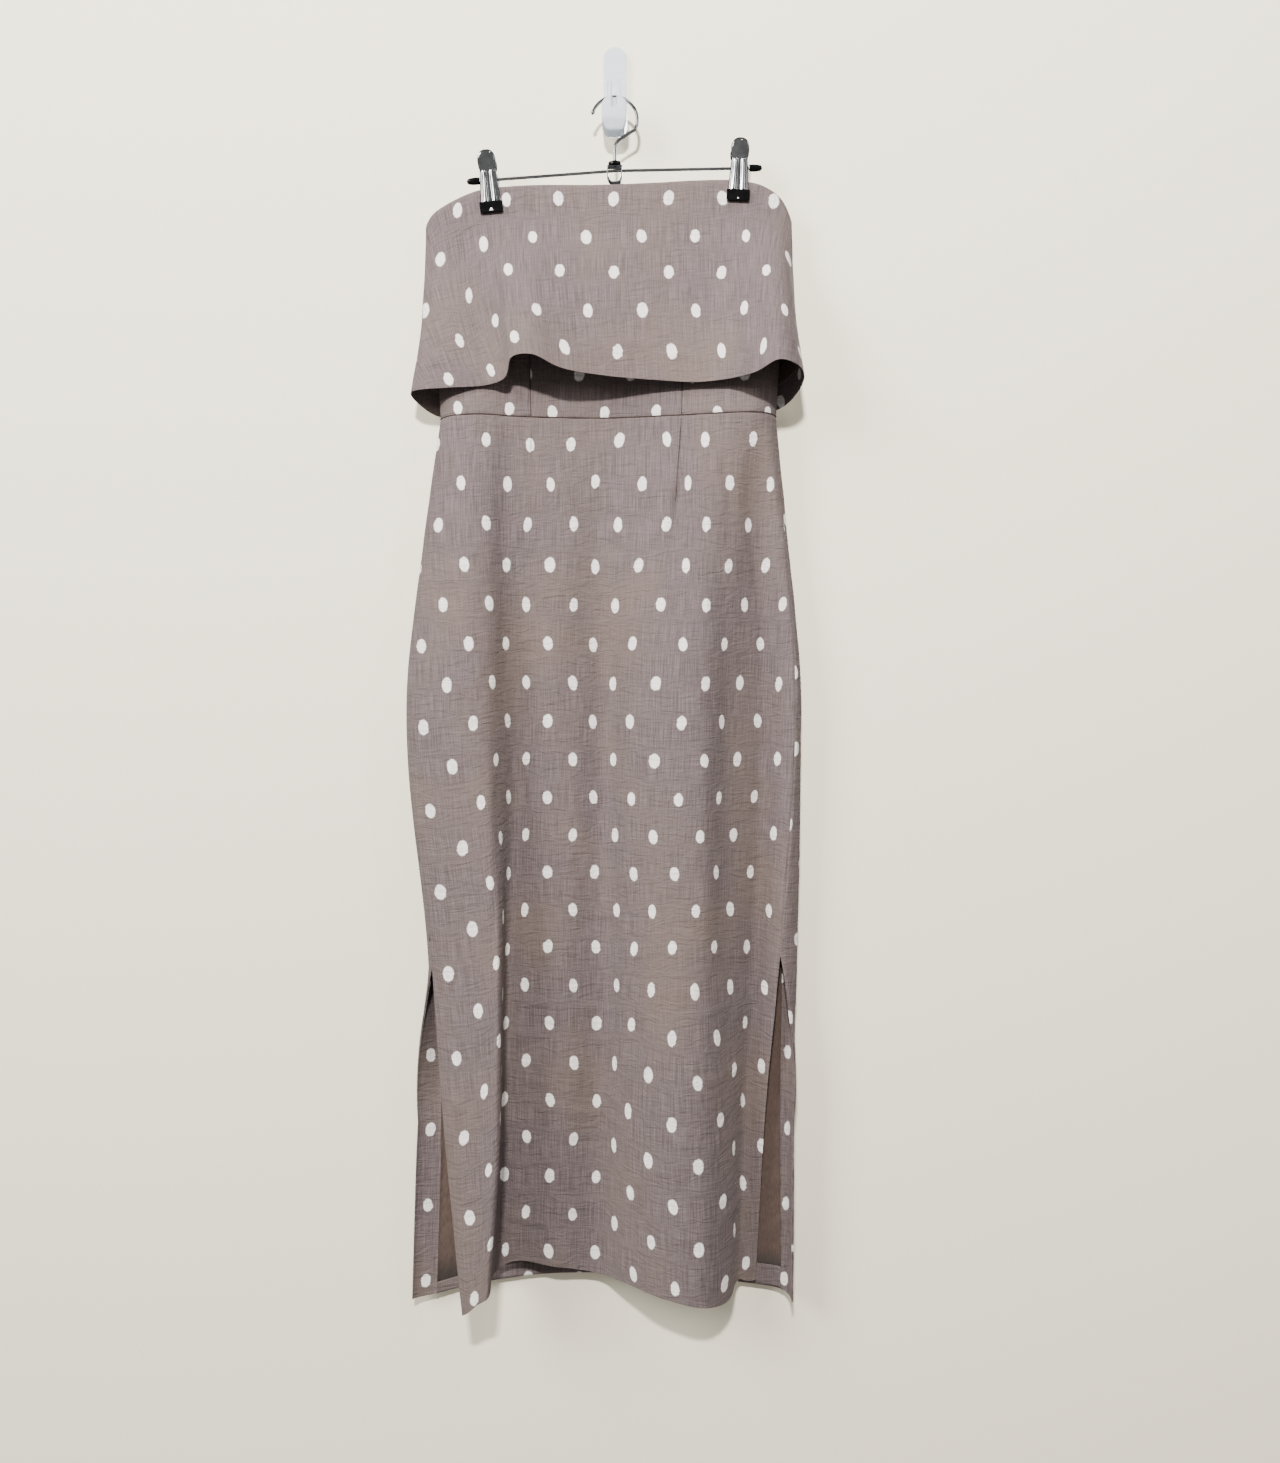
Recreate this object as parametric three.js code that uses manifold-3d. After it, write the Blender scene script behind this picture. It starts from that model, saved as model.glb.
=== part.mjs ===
// Strapless midi dress hung flat from a clip hanger on an adhesive wall hook.
// Millimetres. +X is to the viewer's right, +Z is up, and the wall is the plane Y = 0.
// "Out" is the distance from the wall, so a point lies at Y = -out.
// The origin is the middle of the wall hook's back face, where it is stuck to the wall.

import * as THREE from 'three';
import { mergeVertices } from 'three/addons/utils/BufferGeometryUtils.js';
import Module from 'manifold-3d';

const wasm = await Module();
wasm.setup();

// Driving dimensions of the cloth
const CLOTH = 1.0;            // wall of every cloth piece
const GAP = 0.3;              // clear space at seams and between layers
const LAYER = CLOTH + GAP;    // pitch of layers that lie on each other
const HANG_OUT = 26;          // middle of the pinched layers and of the hanger
const FLUTTER = 5;            // how far the slit edges part just below the slit tops

// Driving dimensions of the hanger: a rod bent a little at its middle, under a swivel hook
const ROD_RADIUS = 1.5;
const ROD = { across: [-153, 0.5, 153], height: [-108.3, -96.9, -93.8] };
const CAP_LENGTH = 14;
const CAP_RADIUS = 3.6;
const WIRE_RADIUS = 1.6;
const WIRE_SIDES = 8;
const WIRE_STEPS = 36;
const ROD_STEPS = 14;
const HOOK_RADIUS = 23.6;
const HOOK_CENTRE = -43.8;
const HOOK_ANGLES = [167, 140, 113, 90, 65, 40, 15, -8, -26];
const HOOK_STEM = { across: [11, 3.5, 0.5, 0.3, 0.3], height: [-60.5, -66, -71.5, -80, -94.6] };
const RING = { radius: 6.8, top: -88.7, foot: -91.9 };
const BRACKET = { half: 8, depth: 8, top: -92.2, foot: -110.4, wall: 1.4, holeSides: 12, holeReach: 20 };

// Driving dimensions of the clips. Heights are from the rod, and each clip leans on it.
const CLIPS = [
  { side: 'left', across: -130, lean: -5.7 },
  { side: 'right', across: 129, lean: 2.6 },
];
const JAW_WALL = 1.2;
const JAW = {
  height: [28, 26.5, 23.5, 18, 12, 9, 6, 0, -12, -24],
  half: [2.5, 6, 8.4, 9.5, 9.2, 8.2, 8.6, 9, 9.9, 10.8],
  out: [9.4, 9.9, 10.2, 9.4, 7.4, 6.2, 5.6, 5.4, 5, 4.7],
  rib: [0, 0, 0, 0, 0, 0.2, 1.3, 1.6, 1.6, 1.4],
};
const JAW_COLUMNS = [-1, -0.8, -0.62, -0.38, -0.14, 0.14, 0.38, 0.62, 0.8, 1];
const JAW_RIBBED = [0, 0, 1, 1, 0, 0, 1, 1, 0, 0];
const TIP = { half: 12, top: -24.3, foot: -35.3, frontFace: 2.9, backFace: 3.5, thick: 3.9, corner: 1.2 };
const SPRING = { inner: 2, outer: 3.9, length: 11 };

// Driving dimensions of the wall hook
const PLATE = { half: 12, top: 43, foot: -43, thick: 5 };
const LOBE_HALF = 13;
const LIP_HALF = 7.3;
const SLOT_HALF = 2.4;
const SLOT = { out: 34.8, depth: 12, middle: -17, length: 34 };
const LOBE_DEPTH = 45;
// Side profile of the hook part, as distance out and height
const LOBE_PROFILE = [
  [5.3, -13], [12, -18], [20, -21], [28.6, -21.5], [29.6, -17], [30, -5], [33.4, -5], [35.2, -12],
  [35.6, -30], [34.4, -46], [30, -55.5], [21, -59.5], [11, -55], [5.3, -42],
];

// Colours
const FABRIC_COLOUR = 0xa1948f;
const LINING_COLOUR = 0x6b5a52;
const CHROME_COLOUR = 0xc9ccd0;
const BLACK_COLOUR = 0x141416;
const HOOK_COLOUR = 0xe9ecee;

// Stations down the body, as a share of the length from the waist seam to the hem
const SKIRT_STATIONS = [0, 0.13, 0.33, 0.62, 0.8, 1];
const SLIT_TOP = 0.62;
const SKIRT_LENGTH = 900;
// Stations down the bodice and the overlay, as a share of their own length.
// The cloth is flat down to the second one, where the clips grip it.
const BODICE_STATIONS = [0, 0.14, 1];
const OVERLAY_STATIONS = [0, 0.15, 0.55, 1];

// Top edge of the dress, from side to side
const TOP_EDGE = {
  across: [-197, -190, -179, -162, -139, -119, -76, 6, 36, 81, 105, 136, 151, 165, 174, 180, 185],
  height: [-152, -143, -135, -126, -117, -114.4, -112, -112, -110, -107.6, -106.5, -108.4, -111.7,
    -120.4, -127.2, -136.5, -148],
};
const BACK_DIP = 10;          // the back's top edge is this much lower at the centre
const WAIST_HEIGHT = -352.1;
const WAIST_SLOPE = 0.0077;

// Body front. One row for each fold, left to right.
// The columns hold a value at the top edge, waist, upper hip, hip, slit top, knee and hem.
const BODY_FRONT = [
  { fold: 'left seam', across: [-193.5, -181, -197, -214, -187, -173, -153],
    out: [19.5, 22, 26, 36, 44, 54, 66], hem: -1265 },
  { fold: 'left roll', across: [-184, -169, -182, -195, -170, -162, -146],
    out: [25.5, 38, 44, 54, 57, 63, 73], hem: -1259 },
  { fold: 'left crest', across: [-150, -142, -150, -152, -134, -135, -135],
    out: [27.15, 46, 58, 68, 70, 74, 79], hem: -1248 },
  { fold: 'crest edge', across: [-131, -125, -128, -127, -115, -115, -125],
    out: [27.15, 43, 53, 63, 75, 80, 82], hem: -1241 },
  { fold: 'crease foot', across: [-115, -109, -109, -101, -110, -115, -124],
    out: [27.15, 37, 40, 27, 26, 24, 24], hem: -1239 },
  { fold: 'left dart', across: [-92, -86, -86, -72, -90, -96, -105],
    out: [27.15, 32, 34, 31, 27, 25, 25], hem: -1227 },
  { fold: 'plateau', across: [-55, -51, -50, -41, -51, -54, -61],
    out: [27.15, 27, 32, 27, 30, 30, 29], hem: -1231 },
  { fold: 'centre valley', across: [-12, -12, -15, -9, -12, -14, -17],
    out: [27.15, 24, 24, 15, 19, 18, 20], hem: -1241 },
  { fold: 'right flank', across: [30, 26, 22, 18, 14, 13, 12],
    out: [27.15, 28, 34, 42, 46, 46, 47], hem: -1240 },
  { fold: 'right crest', across: [76, 69, 61, 51, 50, 48, 48],
    out: [27.15, 35, 44, 61, 68, 70, 71], hem: -1245 },
  { fold: 'crest shoulder', across: [104, 96, 94, 89, 90, 89, 91],
    out: [27.15, 40, 48, 62, 68, 72, 73], hem: -1254 },
  { fold: 'right fall', across: [128, 123, 122, 115, 122, 119, 117],
    out: [27.15, 45, 40, 39, 38, 44, 46], hem: -1258 },
  { fold: 'right valley', across: [150, 144, 153, 159, 148, 136, 129],
    out: [27.15, 46, 22, 15, 17, 17, 17], hem: -1249 },
  { fold: 'side ridge', across: [168, 158, 169, 177, 161, 148, 138],
    out: [25.5, 39, 28, 31, 25, 20, 14], hem: -1252 },
  { fold: 'right seam', across: [182, 168, 177, 187, 171, 156, 147],
    out: [19.5, 22, 24, 34, 33, 25, 15], hem: -1251 },
];
const FRONT_LEFT_PRINCESS = 5;
const FRONT_RIGHT_PRINCESS = 9;

// Body back, the same columns. It hangs close to the wall, and its right edge turns forward.
// Its free edges sag below the height that they share with the front above the slits.
const BODY_BACK = [
  { fold: 'left seam', across: [-193.5, -181, -197, -214, -187, -206, -212],
    out: [19.5, 22, 26, 36, 44, 14, 14], hem: -1265, sag: 5 },
  { fold: 'left turn', across: [-186, -178, -194, -211, -192, -198, -204],
    out: [15.5, 13, 15, 20, 22, 11, 11], hem: -1269 },
  { fold: 'left facing', across: [-170, -166, -181, -196, -186, -182, -186.5],
    out: [17, 9.5, 10, 10, 11, 9, 9], hem: -1266 },
  { fold: 'left side', across: [-143, -125, -138, -145, -140, -140, -143],
    out: [24.3, 9, 7, 6, 7, 7, 7], hem: -1256 },
  { fold: 'left rib', across: [-105, -66, -75, -78, -76, -75, -76],
    out: [24.3, 8, 5, 4.5, 5, 5.5, 6], hem: -1247 },
  { fold: 'centre seam', across: [-8, -8, -8, -8, -8, -9, -10],
    out: [24.3, 9, 8, 7, 7, 7, 7], hem: -1245 },
  { fold: 'right rib', across: [104, 52, 58, 62, 62, 60, 60],
    out: [24.3, 8, 5, 4.5, 5, 5.5, 6], hem: -1247 },
  { fold: 'right side', across: [143, 112, 125, 130, 128, 125, 124],
    out: [24.3, 9, 7, 6, 7, 7, 7], hem: -1254 },
  { fold: 'right facing', across: [160, 148, 160, 176, 176, 174, 175],
    out: [18, 9, 8, 9, 10, 10, 10], hem: -1261 },
  { fold: 'right turn', across: [176, 165, 179, 194, 190, 183, 183],
    out: [16.5, 13, 13, 16, 20, 17, 17], hem: -1264 },
  { fold: 'right seam', across: [182, 168, 177, 187, 171, 186, 185],
    out: [19.5, 22, 24, 34, 33, 34, 34], hem: -1251, sag: 14 },
];
const BACK_LEFT_FACING = 2;
const BACK_CENTRE = 5;
const BACK_RIGHT_FACING = 8;
const HEM_TURN_LEFT = 11;     // height of the back hem turn at the left side
const HEM_TURN_RIGHT = 24;

// Overlay front. The columns hold a value at the top edge, the middle and the hem.
const OVERLAY_FRONT = [
  { fold: 'left seam', across: [-197, -199, -210], out: [20, 30, 34], hem: -329 },
  { fold: 'left roll', across: [-188, -189, -198], out: [26, 38, 47], hem: -329 },
  { fold: 'left flat', across: [-162, -164, -168], out: [28.45, 40, 51], hem: -328 },
  { fold: 'fold foot', across: [-135, -133, -127], out: [28.45, 38, 48], hem: -324 },
  { fold: 'fold face', across: [-127, -121, -110], out: [28.45, 43, 58], hem: -319 },
  { fold: 'fold edge', across: [-119, -112, -103], out: [28.45, 49, 70], hem: -303 },
  { fold: 'left crest', across: [-98, -89, -82], out: [28.45, 54, 79], hem: -302 },
  { fold: 'crest slope', across: [-67, -59, -53], out: [28.45, 49, 70], hem: -313 },
  { fold: 'middle', across: [-20, -17, -14], out: [28.45, 43, 58], hem: -317 },
  { fold: 'right dip', across: [37, 38, 37], out: [28.45, 37, 48], hem: -319 },
  { fold: 'right flat', across: [85, 86, 87], out: [28.45, 36, 47], hem: -321 },
  { fold: 'rise', across: [116, 119, 120], out: [28.45, 41, 58], hem: -320 },
  { fold: 'right slope', across: [135, 139, 143], out: [28.45, 52, 79], hem: -319 },
  { fold: 'right crest', across: [156, 160, 163], out: [28.45, 60, 92], hem: -311 },
  { fold: 'right roll', across: [174, 178, 179], out: [26.5, 54, 84], hem: -312 },
  { fold: 'right seam', across: [185, 186, 193], out: [20, 36, 56], hem: -316 },
];

// Overlay back, the same columns
const OVERLAY_BACK = [
  { fold: 'left seam', across: [-197, -199, -210], out: [20, 30, 34], hem: -329 },
  { fold: 'left turn', across: [-190, -196, -207], out: [13.5, 17, 20], hem: -334 },
  { fold: 'left side', across: [-172, -175, -186], out: [15, 10, 9], hem: -347 },
  { fold: 'left clip', across: [-143, -130, -135], out: [22.9, 11, 4], hem: -349 },
  { fold: 'left rib', across: [-104, -72, -74], out: [22.9, 9, 2.5], hem: -348 },
  { fold: 'centre seam', across: [-8, -8, -8], out: [22.9, 9, 3.5], hem: -346 },
  { fold: 'right rib', across: [103, 62, 64], out: [22.9, 9, 2.5], hem: -344 },
  { fold: 'right clip', across: [142, 128, 130], out: [22.9, 11, 4], hem: -343 },
  { fold: 'right side', across: [163, 165, 172], out: [14, 10, 11], hem: -340 },
  { fold: 'right turn', across: [180, 184, 190], out: [14.5, 18, 33], hem: -326.5 },
  { fold: 'right seam', across: [185, 186, 193], out: [20, 36, 56], hem: -316 },
];

// Rows of facets down each piece, and facets between two folds
const SKIRT_ROWS = 22;
const BODICE_ROWS = 7;
const OVERLAY_ROWS = 9;
const PER_FOLD = 2;
// The inner layers share those rows: the first and last one that each of them reaches
const OVERLAY_LINING_TOP = 5;
const OVERLAY_LINING_FOOT = 8;
const SKIRT_LINING_TOP = 1;
const SLIT_FACING_TOP = 14;

const group = new THREE.Group();

function material(color, roughness, metalness = 0) {
  return new THREE.MeshStandardMaterial({ color, roughness, metalness, side: THREE.DoubleSide });
}

const fabric = material(FABRIC_COLOUR, 0.9);
const lining = material(LINING_COLOUR, 0.45);
const chrome = material(CHROME_COLOUR, 0.15, 1);
const black = material(BLACK_COLOUR, 0.35);
const clear = material(HOOK_COLOUR, 0.3);

function addPiece(parent, name, geometry, finish) {
  const mesh = new THREE.Mesh(geometry, finish);
  mesh.name = name;
  parent.add(mesh);
  return mesh;
}

// A smooth value between table entries that never overshoots them
function smoothAt(places, values, place) {
  const last = places.length - 1;
  let i = 0;
  while (i < last - 1 && place > places[i + 1]) i += 1;
  const rise = (k) => (values[k + 1] - values[k]) / (places[k + 1] - places[k]);
  const slope = (k) => {
    if (k === 0) return rise(0);
    if (k === last) return rise(last - 1);
    const before = rise(k - 1);
    const after = rise(k);
    return before * after <= 0 ? 0 : (2 * before * after) / (before + after);
  };
  const span = places[i + 1] - places[i];
  const s = THREE.MathUtils.clamp((place - places[i]) / span, 0, 1);
  const held = (1 + 2 * s) * (1 - s) * (1 - s) * values[i] + s * s * (3 - 2 * s) * values[i + 1];
  return held + span * s * (1 - s) * ((1 - s) * slope(i) - s * slope(i + 1));
}

function topHeight(across, isBack) {
  const dip = isBack ? BACK_DIP * Math.max(0, 1 - (across / 190) ** 2) : 0;
  return smoothAt(TOP_EDGE.across, TOP_EDGE.height, across) - dip;
}

function waistHeight(across) {
  return WAIST_HEIGHT + WAIST_SLOPE * across;
}

function placed(across, out, height) {
  return new THREE.Vector3(across, -out, height);
}

// A value down the skirt. A side seam ends at the slit top, where its edge turns off by itself.
function downSkirt(values, down, isSeam) {
  if (!isSeam) return smoothAt(SKIRT_STATIONS, values, down);
  const slit = SKIRT_STATIONS.indexOf(SLIT_TOP);
  const [first, last] = down <= SLIT_TOP ? [0, slit + 1] : [slit, values.length];
  return smoothAt(SKIRT_STATIONS.slice(first, last), values.slice(first, last), down);
}

// Points of the folds of one table at a share of the way down
function skirtFolds(rows, down) {
  return rows.map((row, i) => {
    const isSeam = i === 0 || i === rows.length - 1;
    const across = downSkirt(row.across.slice(1), down, isSeam);
    const out = downSkirt(row.out.slice(1), down, isSeam);
    const waist = waistHeight(row.across[1]);
    const sag = (row.sag ?? 0) * Math.max(0, (down - SLIT_TOP) / (1 - SLIT_TOP));
    return placed(across, out, waist + down * (row.hem - waist) - sag);
  });
}

function bodiceFolds(rows, down, isBack) {
  return rows.map((row) => {
    const [top, waist] = row.across;
    const [topOut, waistOut] = row.out;
    const out = smoothAt(BODICE_STATIONS, [topOut, topOut, waistOut], down);
    const start = topHeight(top, isBack);
    return placed(top + down * (waist - top), out, start + down * (waistHeight(waist) - start));
  });
}

function overlayFolds(rows, down, isBack) {
  return rows.map((row) => {
    const [top, middle, hem] = row.across;
    const [topOut, middleOut, hemOut] = row.out;
    const [, grip, half] = OVERLAY_STATIONS;
    const gripAcross = top + (middle - top) * (grip / half);
    const across = smoothAt(OVERLAY_STATIONS, [top, gripAcross, middle, hem], down);
    const out = smoothAt(OVERLAY_STATIONS, [topOut, topOut, middleOut, hemOut], down);
    const start = topHeight(top, isBack);
    return placed(across, out, start + down * (row.hem - start));
  });
}

// The front and the back turn into each other at the side seams, so each section is
// led on by the other panel's next fold. Below the slit tops it ends by itself.
function ledOn(own, other, apart) {
  const last = own.length - 1;
  const freeStart = own[0].clone().multiplyScalar(2).sub(own[1]);
  const freeEnd = own[last].clone().multiplyScalar(2).sub(own[last - 1]);
  const start = other[1].clone().lerp(freeStart, apart);
  const end = other[other.length - 2].clone().lerp(freeEnd, apart);
  return [start, ...own, end];
}

function skirtSection(down, isBack) {
  const front = skirtFolds(BODY_FRONT, down);
  const back = skirtFolds(BODY_BACK, down);
  const opened = THREE.MathUtils.clamp((down - SLIT_TOP) / 0.18, 0, 1);
  const parting = FLUTTER * 4 * opened * (1 - opened);
  back[0].x -= parting;
  back[back.length - 1].x += parting;
  const apart = THREE.MathUtils.smoothstep(down, SLIT_TOP, SLIT_TOP + 0.08);
  return isBack ? ledOn(back, front, apart) : ledOn(front, back, apart);
}

function bodiceSection(down, isBack) {
  const front = bodiceFolds(BODY_FRONT, down, false);
  const back = bodiceFolds(BODY_BACK, down, true);
  return isBack ? ledOn(back, front, 0) : ledOn(front, back, 0);
}

function overlaySection(down, isBack) {
  const front = overlayFolds(OVERLAY_FRONT, down, false);
  const back = overlayFolds(OVERLAY_BACK, down, true);
  return isBack ? ledOn(back, front, 0) : ledOn(front, back, 0);
}

// One point of a section's curve, with its direction along the section and straight out
function spotAt(section, isBack, fold, down) {
  const folds = section(down, isBack);
  const curve = new THREE.CatmullRomCurve3(folds, false, 'centripetal');
  const at = (1 + fold) / (folds.length - 1);
  const point = curve.getPoint(at);
  const along = curve.getPoint(at + 1e-3).sub(curve.getPoint(at - 1e-3)).setZ(0).normalize();
  const outward = new THREE.Vector3(along.y, -along.x, 0).multiplyScalar(isBack ? -1 : 1);
  return { point, along, outward };
}

// Even places down a piece, with the first and last of them chosen from all of its rows
function evenRows(rows, first = 0, last = rows) {
  const places = [];
  for (let j = first; j <= last; j += 1) places.push(j / rows);
  return places;
}

// A grid of such points between two folds. The places down may depend on the place across.
function panelGrid(section, isBack, { from, to, places }) {
  const steps = (to - from) * PER_FOLD;
  const columns = [];
  for (let i = 0; i <= steps; i += 1) {
    const fold = from + i / PER_FOLD;
    const across = spotAt(section, isBack, fold, 1).point.x;
    columns.push(places(across).map((down) => spotAt(section, isBack, fold, down)));
  }
  return columns[0].map((_, j) => columns.map((column) => column[j]));
}

// Pull the four edges of a grid in by half a seam gap
function trimmed(grid, { sides = true, ends = true } = {}) {
  const lastRow = grid.length - 1;
  return grid.map((line, j) => line.map((spot, i) => {
    const point = spot.point.clone();
    if (sides && i === 0) point.addScaledVector(spot.along, GAP / 2);
    if (sides && i === line.length - 1) point.addScaledVector(spot.along, -GAP / 2);
    if (ends && j === 0) point.z -= GAP / 2;
    if (ends && j === lastRow) point.z += GAP / 2;
    return { ...spot, point };
  }));
}

function layerOf(grid, inset) {
  return grid.map((line) => line.map((spot) => spot.point.clone().addScaledVector(spot.outward, -inset)));
}

// A closed wall between two grids of points. The first grid faces out.
function wallBetween(outer, inner, turned) {
  const rows = outer.length;
  const columns = outer[0].length;
  const positions = [];
  for (const sheet of [outer, inner]) {
    for (const line of sheet) {
      for (const point of line) positions.push(point.x, point.y, point.z);
    }
  }
  const at = (layer, j, i) => layer * rows * columns + j * columns + i;
  const index = [];
  const quad = (a, b, c, d) => {
    if (turned) index.push(a, c, b, a, d, c);
    else index.push(a, b, c, a, c, d);
  };
  for (let j = 0; j < rows - 1; j += 1) {
    for (let i = 0; i < columns - 1; i += 1) {
      quad(at(0, j, i), at(0, j + 1, i), at(0, j + 1, i + 1), at(0, j, i + 1));
      quad(at(1, j, i), at(1, j, i + 1), at(1, j + 1, i + 1), at(1, j + 1, i));
    }
  }
  const right = columns - 1;
  const foot = rows - 1;
  for (let j = 0; j < foot; j += 1) {
    quad(at(0, j, 0), at(1, j, 0), at(1, j + 1, 0), at(0, j + 1, 0));
    quad(at(0, j, right), at(0, j + 1, right), at(1, j + 1, right), at(1, j, right));
  }
  for (let i = 0; i < right; i += 1) {
    quad(at(0, 0, i), at(0, 0, i + 1), at(1, 0, i + 1), at(1, 0, i));
    quad(at(0, foot, i), at(1, foot, i), at(1, foot, i + 1), at(0, foot, i + 1));
  }
  const geometry = new THREE.BufferGeometry();
  geometry.setAttribute('position', new THREE.Float32BufferAttribute(positions, 3));
  geometry.setIndex(index);
  return geometry;
}

// One cloth piece: a wall from a grid, a number of layers in from the panel's outside
function clothPiece(name, grid, finish, isBack, depth = 0) {
  const outer = layerOf(grid, depth * LAYER);
  const inner = layerOf(grid, depth * LAYER + CLOTH);
  addPiece(group, name, wallBetween(outer, inner, isBack), finish);
}

function buildBodice() {
  const last = BODY_FRONT.length - 1;
  const fronts = [
    { name: 'bodice_front_side_left', from: 0, to: FRONT_LEFT_PRINCESS },
    { name: 'bodice_front_centre', from: FRONT_LEFT_PRINCESS, to: FRONT_RIGHT_PRINCESS },
    { name: 'bodice_front_side_right', from: FRONT_RIGHT_PRINCESS, to: last },
  ];
  for (const { name, from, to } of fronts) {
    const grid = panelGrid(bodiceSection, false, { from, to, places: () => evenRows(BODICE_ROWS) });
    clothPiece(name, trimmed(grid), fabric, false);
  }
  const backs = [
    { name: 'bodice_back_left', from: 0, to: BACK_CENTRE },
    { name: 'bodice_back_right', from: BACK_CENTRE, to: BODY_BACK.length - 1 },
  ];
  for (const { name, from, to } of backs) {
    const grid = panelGrid(bodiceSection, true, { from, to, places: () => evenRows(BODICE_ROWS) });
    clothPiece(name, trimmed(grid), fabric, true);
  }
}

function buildSkirt() {
  const places = () => evenRows(SKIRT_ROWS);
  const front = panelGrid(skirtSection, false, { from: 0, to: BODY_FRONT.length - 1, places });
  clothPiece('skirt_front', trimmed(front), fabric, false);
  const backs = [
    { name: 'skirt_back_left', from: 0, to: BACK_CENTRE },
    { name: 'skirt_back_right', from: BACK_CENTRE, to: BODY_BACK.length - 1 },
  ];
  for (const { name, from, to } of backs) {
    const grid = panelGrid(skirtSection, true, { from, to, places });
    clothPiece(name, trimmed(grid), fabric, true);
  }
}

// Share of the skirt's length where the hem turn of the back ends
function hemTurnTop(across) {
  const edge = BODY_BACK[0].across.at(-1);
  const share = (across - edge) / (-2 * edge);
  return 1 - (HEM_TURN_LEFT + (HEM_TURN_RIGHT - HEM_TURN_LEFT) * share) / SKIRT_LENGTH;
}

// Lining, slit facings and hem turns lie on the inside of the back skirt
function buildBackInside() {
  const lined = (x) => [...evenRows(SKIRT_ROWS, SKIRT_LINING_TOP, SKIRT_ROWS - 1), hemTurnTop(x)];
  const faced = () => evenRows(SKIRT_ROWS, SLIT_FACING_TOP);
  const turned = (x) => [hemTurnTop(x), 1];
  const right = BODY_BACK.length - 1;
  const pieces = [
    ['skirt_lining_back', lining, { from: BACK_LEFT_FACING, to: BACK_RIGHT_FACING, places: lined }],
    ['slit_facing_left', fabric, { from: 0, to: BACK_LEFT_FACING, places: faced }],
    ['slit_facing_right', fabric, { from: BACK_RIGHT_FACING, to: right, places: faced }],
    ['hem_turn_left', fabric, { from: BACK_LEFT_FACING, to: BACK_CENTRE, places: turned }],
    ['hem_turn_right', fabric, { from: BACK_CENTRE, to: BACK_RIGHT_FACING, places: turned }],
  ];
  for (const [name, finish, range] of pieces) {
    clothPiece(name, trimmed(panelGrid(skirtSection, true, range)), finish, true, 1);
  }
}

function buildOverlay() {
  const places = () => evenRows(OVERLAY_ROWS);
  const whole = { from: 0, to: OVERLAY_FRONT.length - 1, places };
  clothPiece('overlay_front', trimmed(panelGrid(overlaySection, false, whole)), fabric, false);
  const backs = [
    { name: 'overlay_back_left', from: 0, to: BACK_CENTRE },
    { name: 'overlay_back_right', from: BACK_CENTRE, to: OVERLAY_BACK.length - 1 },
  ];
  for (const { name, from, to } of backs) {
    const grid = panelGrid(overlaySection, true, { from, to, places });
    clothPiece(name, trimmed(grid), fabric, true);
  }
  const inside = {
    from: 0,
    to: OVERLAY_BACK.length - 1,
    places: () => evenRows(OVERLAY_ROWS, OVERLAY_LINING_TOP, OVERLAY_LINING_FOOT),
  };
  clothPiece('overlay_lining_back', trimmed(panelGrid(overlaySection, true, inside)), lining, true, 1);
}

// A round bar along a smooth line
function barAlong(points, radius, steps, sides = WIRE_SIDES) {
  const section = [];
  for (let k = 0; k < sides; k += 1) {
    const angle = (2 * Math.PI * k) / sides;
    section.push(new THREE.Vector2(radius * Math.cos(angle), radius * Math.sin(angle)));
  }
  const extrudePath = new THREE.CatmullRomCurve3(points, false, 'centripetal');
  return new THREE.ExtrudeGeometry(new THREE.Shape(section), { steps, extrudePath, bevelEnabled: false });
}

function outline(points) {
  return new THREE.Shape(points.map(([x, y]) => new THREE.Vector2(x, y)));
}

function solidOf(geometry) {
  const bare = geometry.clone();
  bare.deleteAttribute('normal');
  bare.deleteAttribute('uv');
  const merged = mergeVertices(bare, 1e-4);
  return new wasm.Manifold(new wasm.Mesh({
    numProp: 3,
    vertProperties: new Float32Array(merged.attributes.position.array),
    triVerts: new Uint32Array(merged.index.array),
  }));
}

function geometryOf(solid) {
  const mesh = solid.getMesh();
  const geometry = new THREE.BufferGeometry();
  geometry.setAttribute('position', new THREE.Float32BufferAttribute(mesh.vertProperties, 3));
  geometry.setIndex(new THREE.Uint32BufferAttribute(mesh.triVerts, 1));
  return geometry;
}

function rodHeight(across) {
  const [left, middle, right] = ROD.across;
  const [low, mid, high] = ROD.height;
  if (across < middle) return low + ((mid - low) * (across - left)) / (middle - left);
  return mid + ((high - mid) * (across - middle)) / (right - middle);
}

function hookLine() {
  const arc = HOOK_ANGLES.map((degrees) => {
    const angle = THREE.MathUtils.degToRad(degrees);
    return placed(HOOK_RADIUS * Math.cos(angle), HANG_OUT, HOOK_CENTRE + HOOK_RADIUS * Math.sin(angle));
  });
  const stem = HOOK_STEM.across.map((across, i) => placed(across, HANG_OUT, HOOK_STEM.height[i]));
  return [...arc, ...stem];
}

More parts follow.
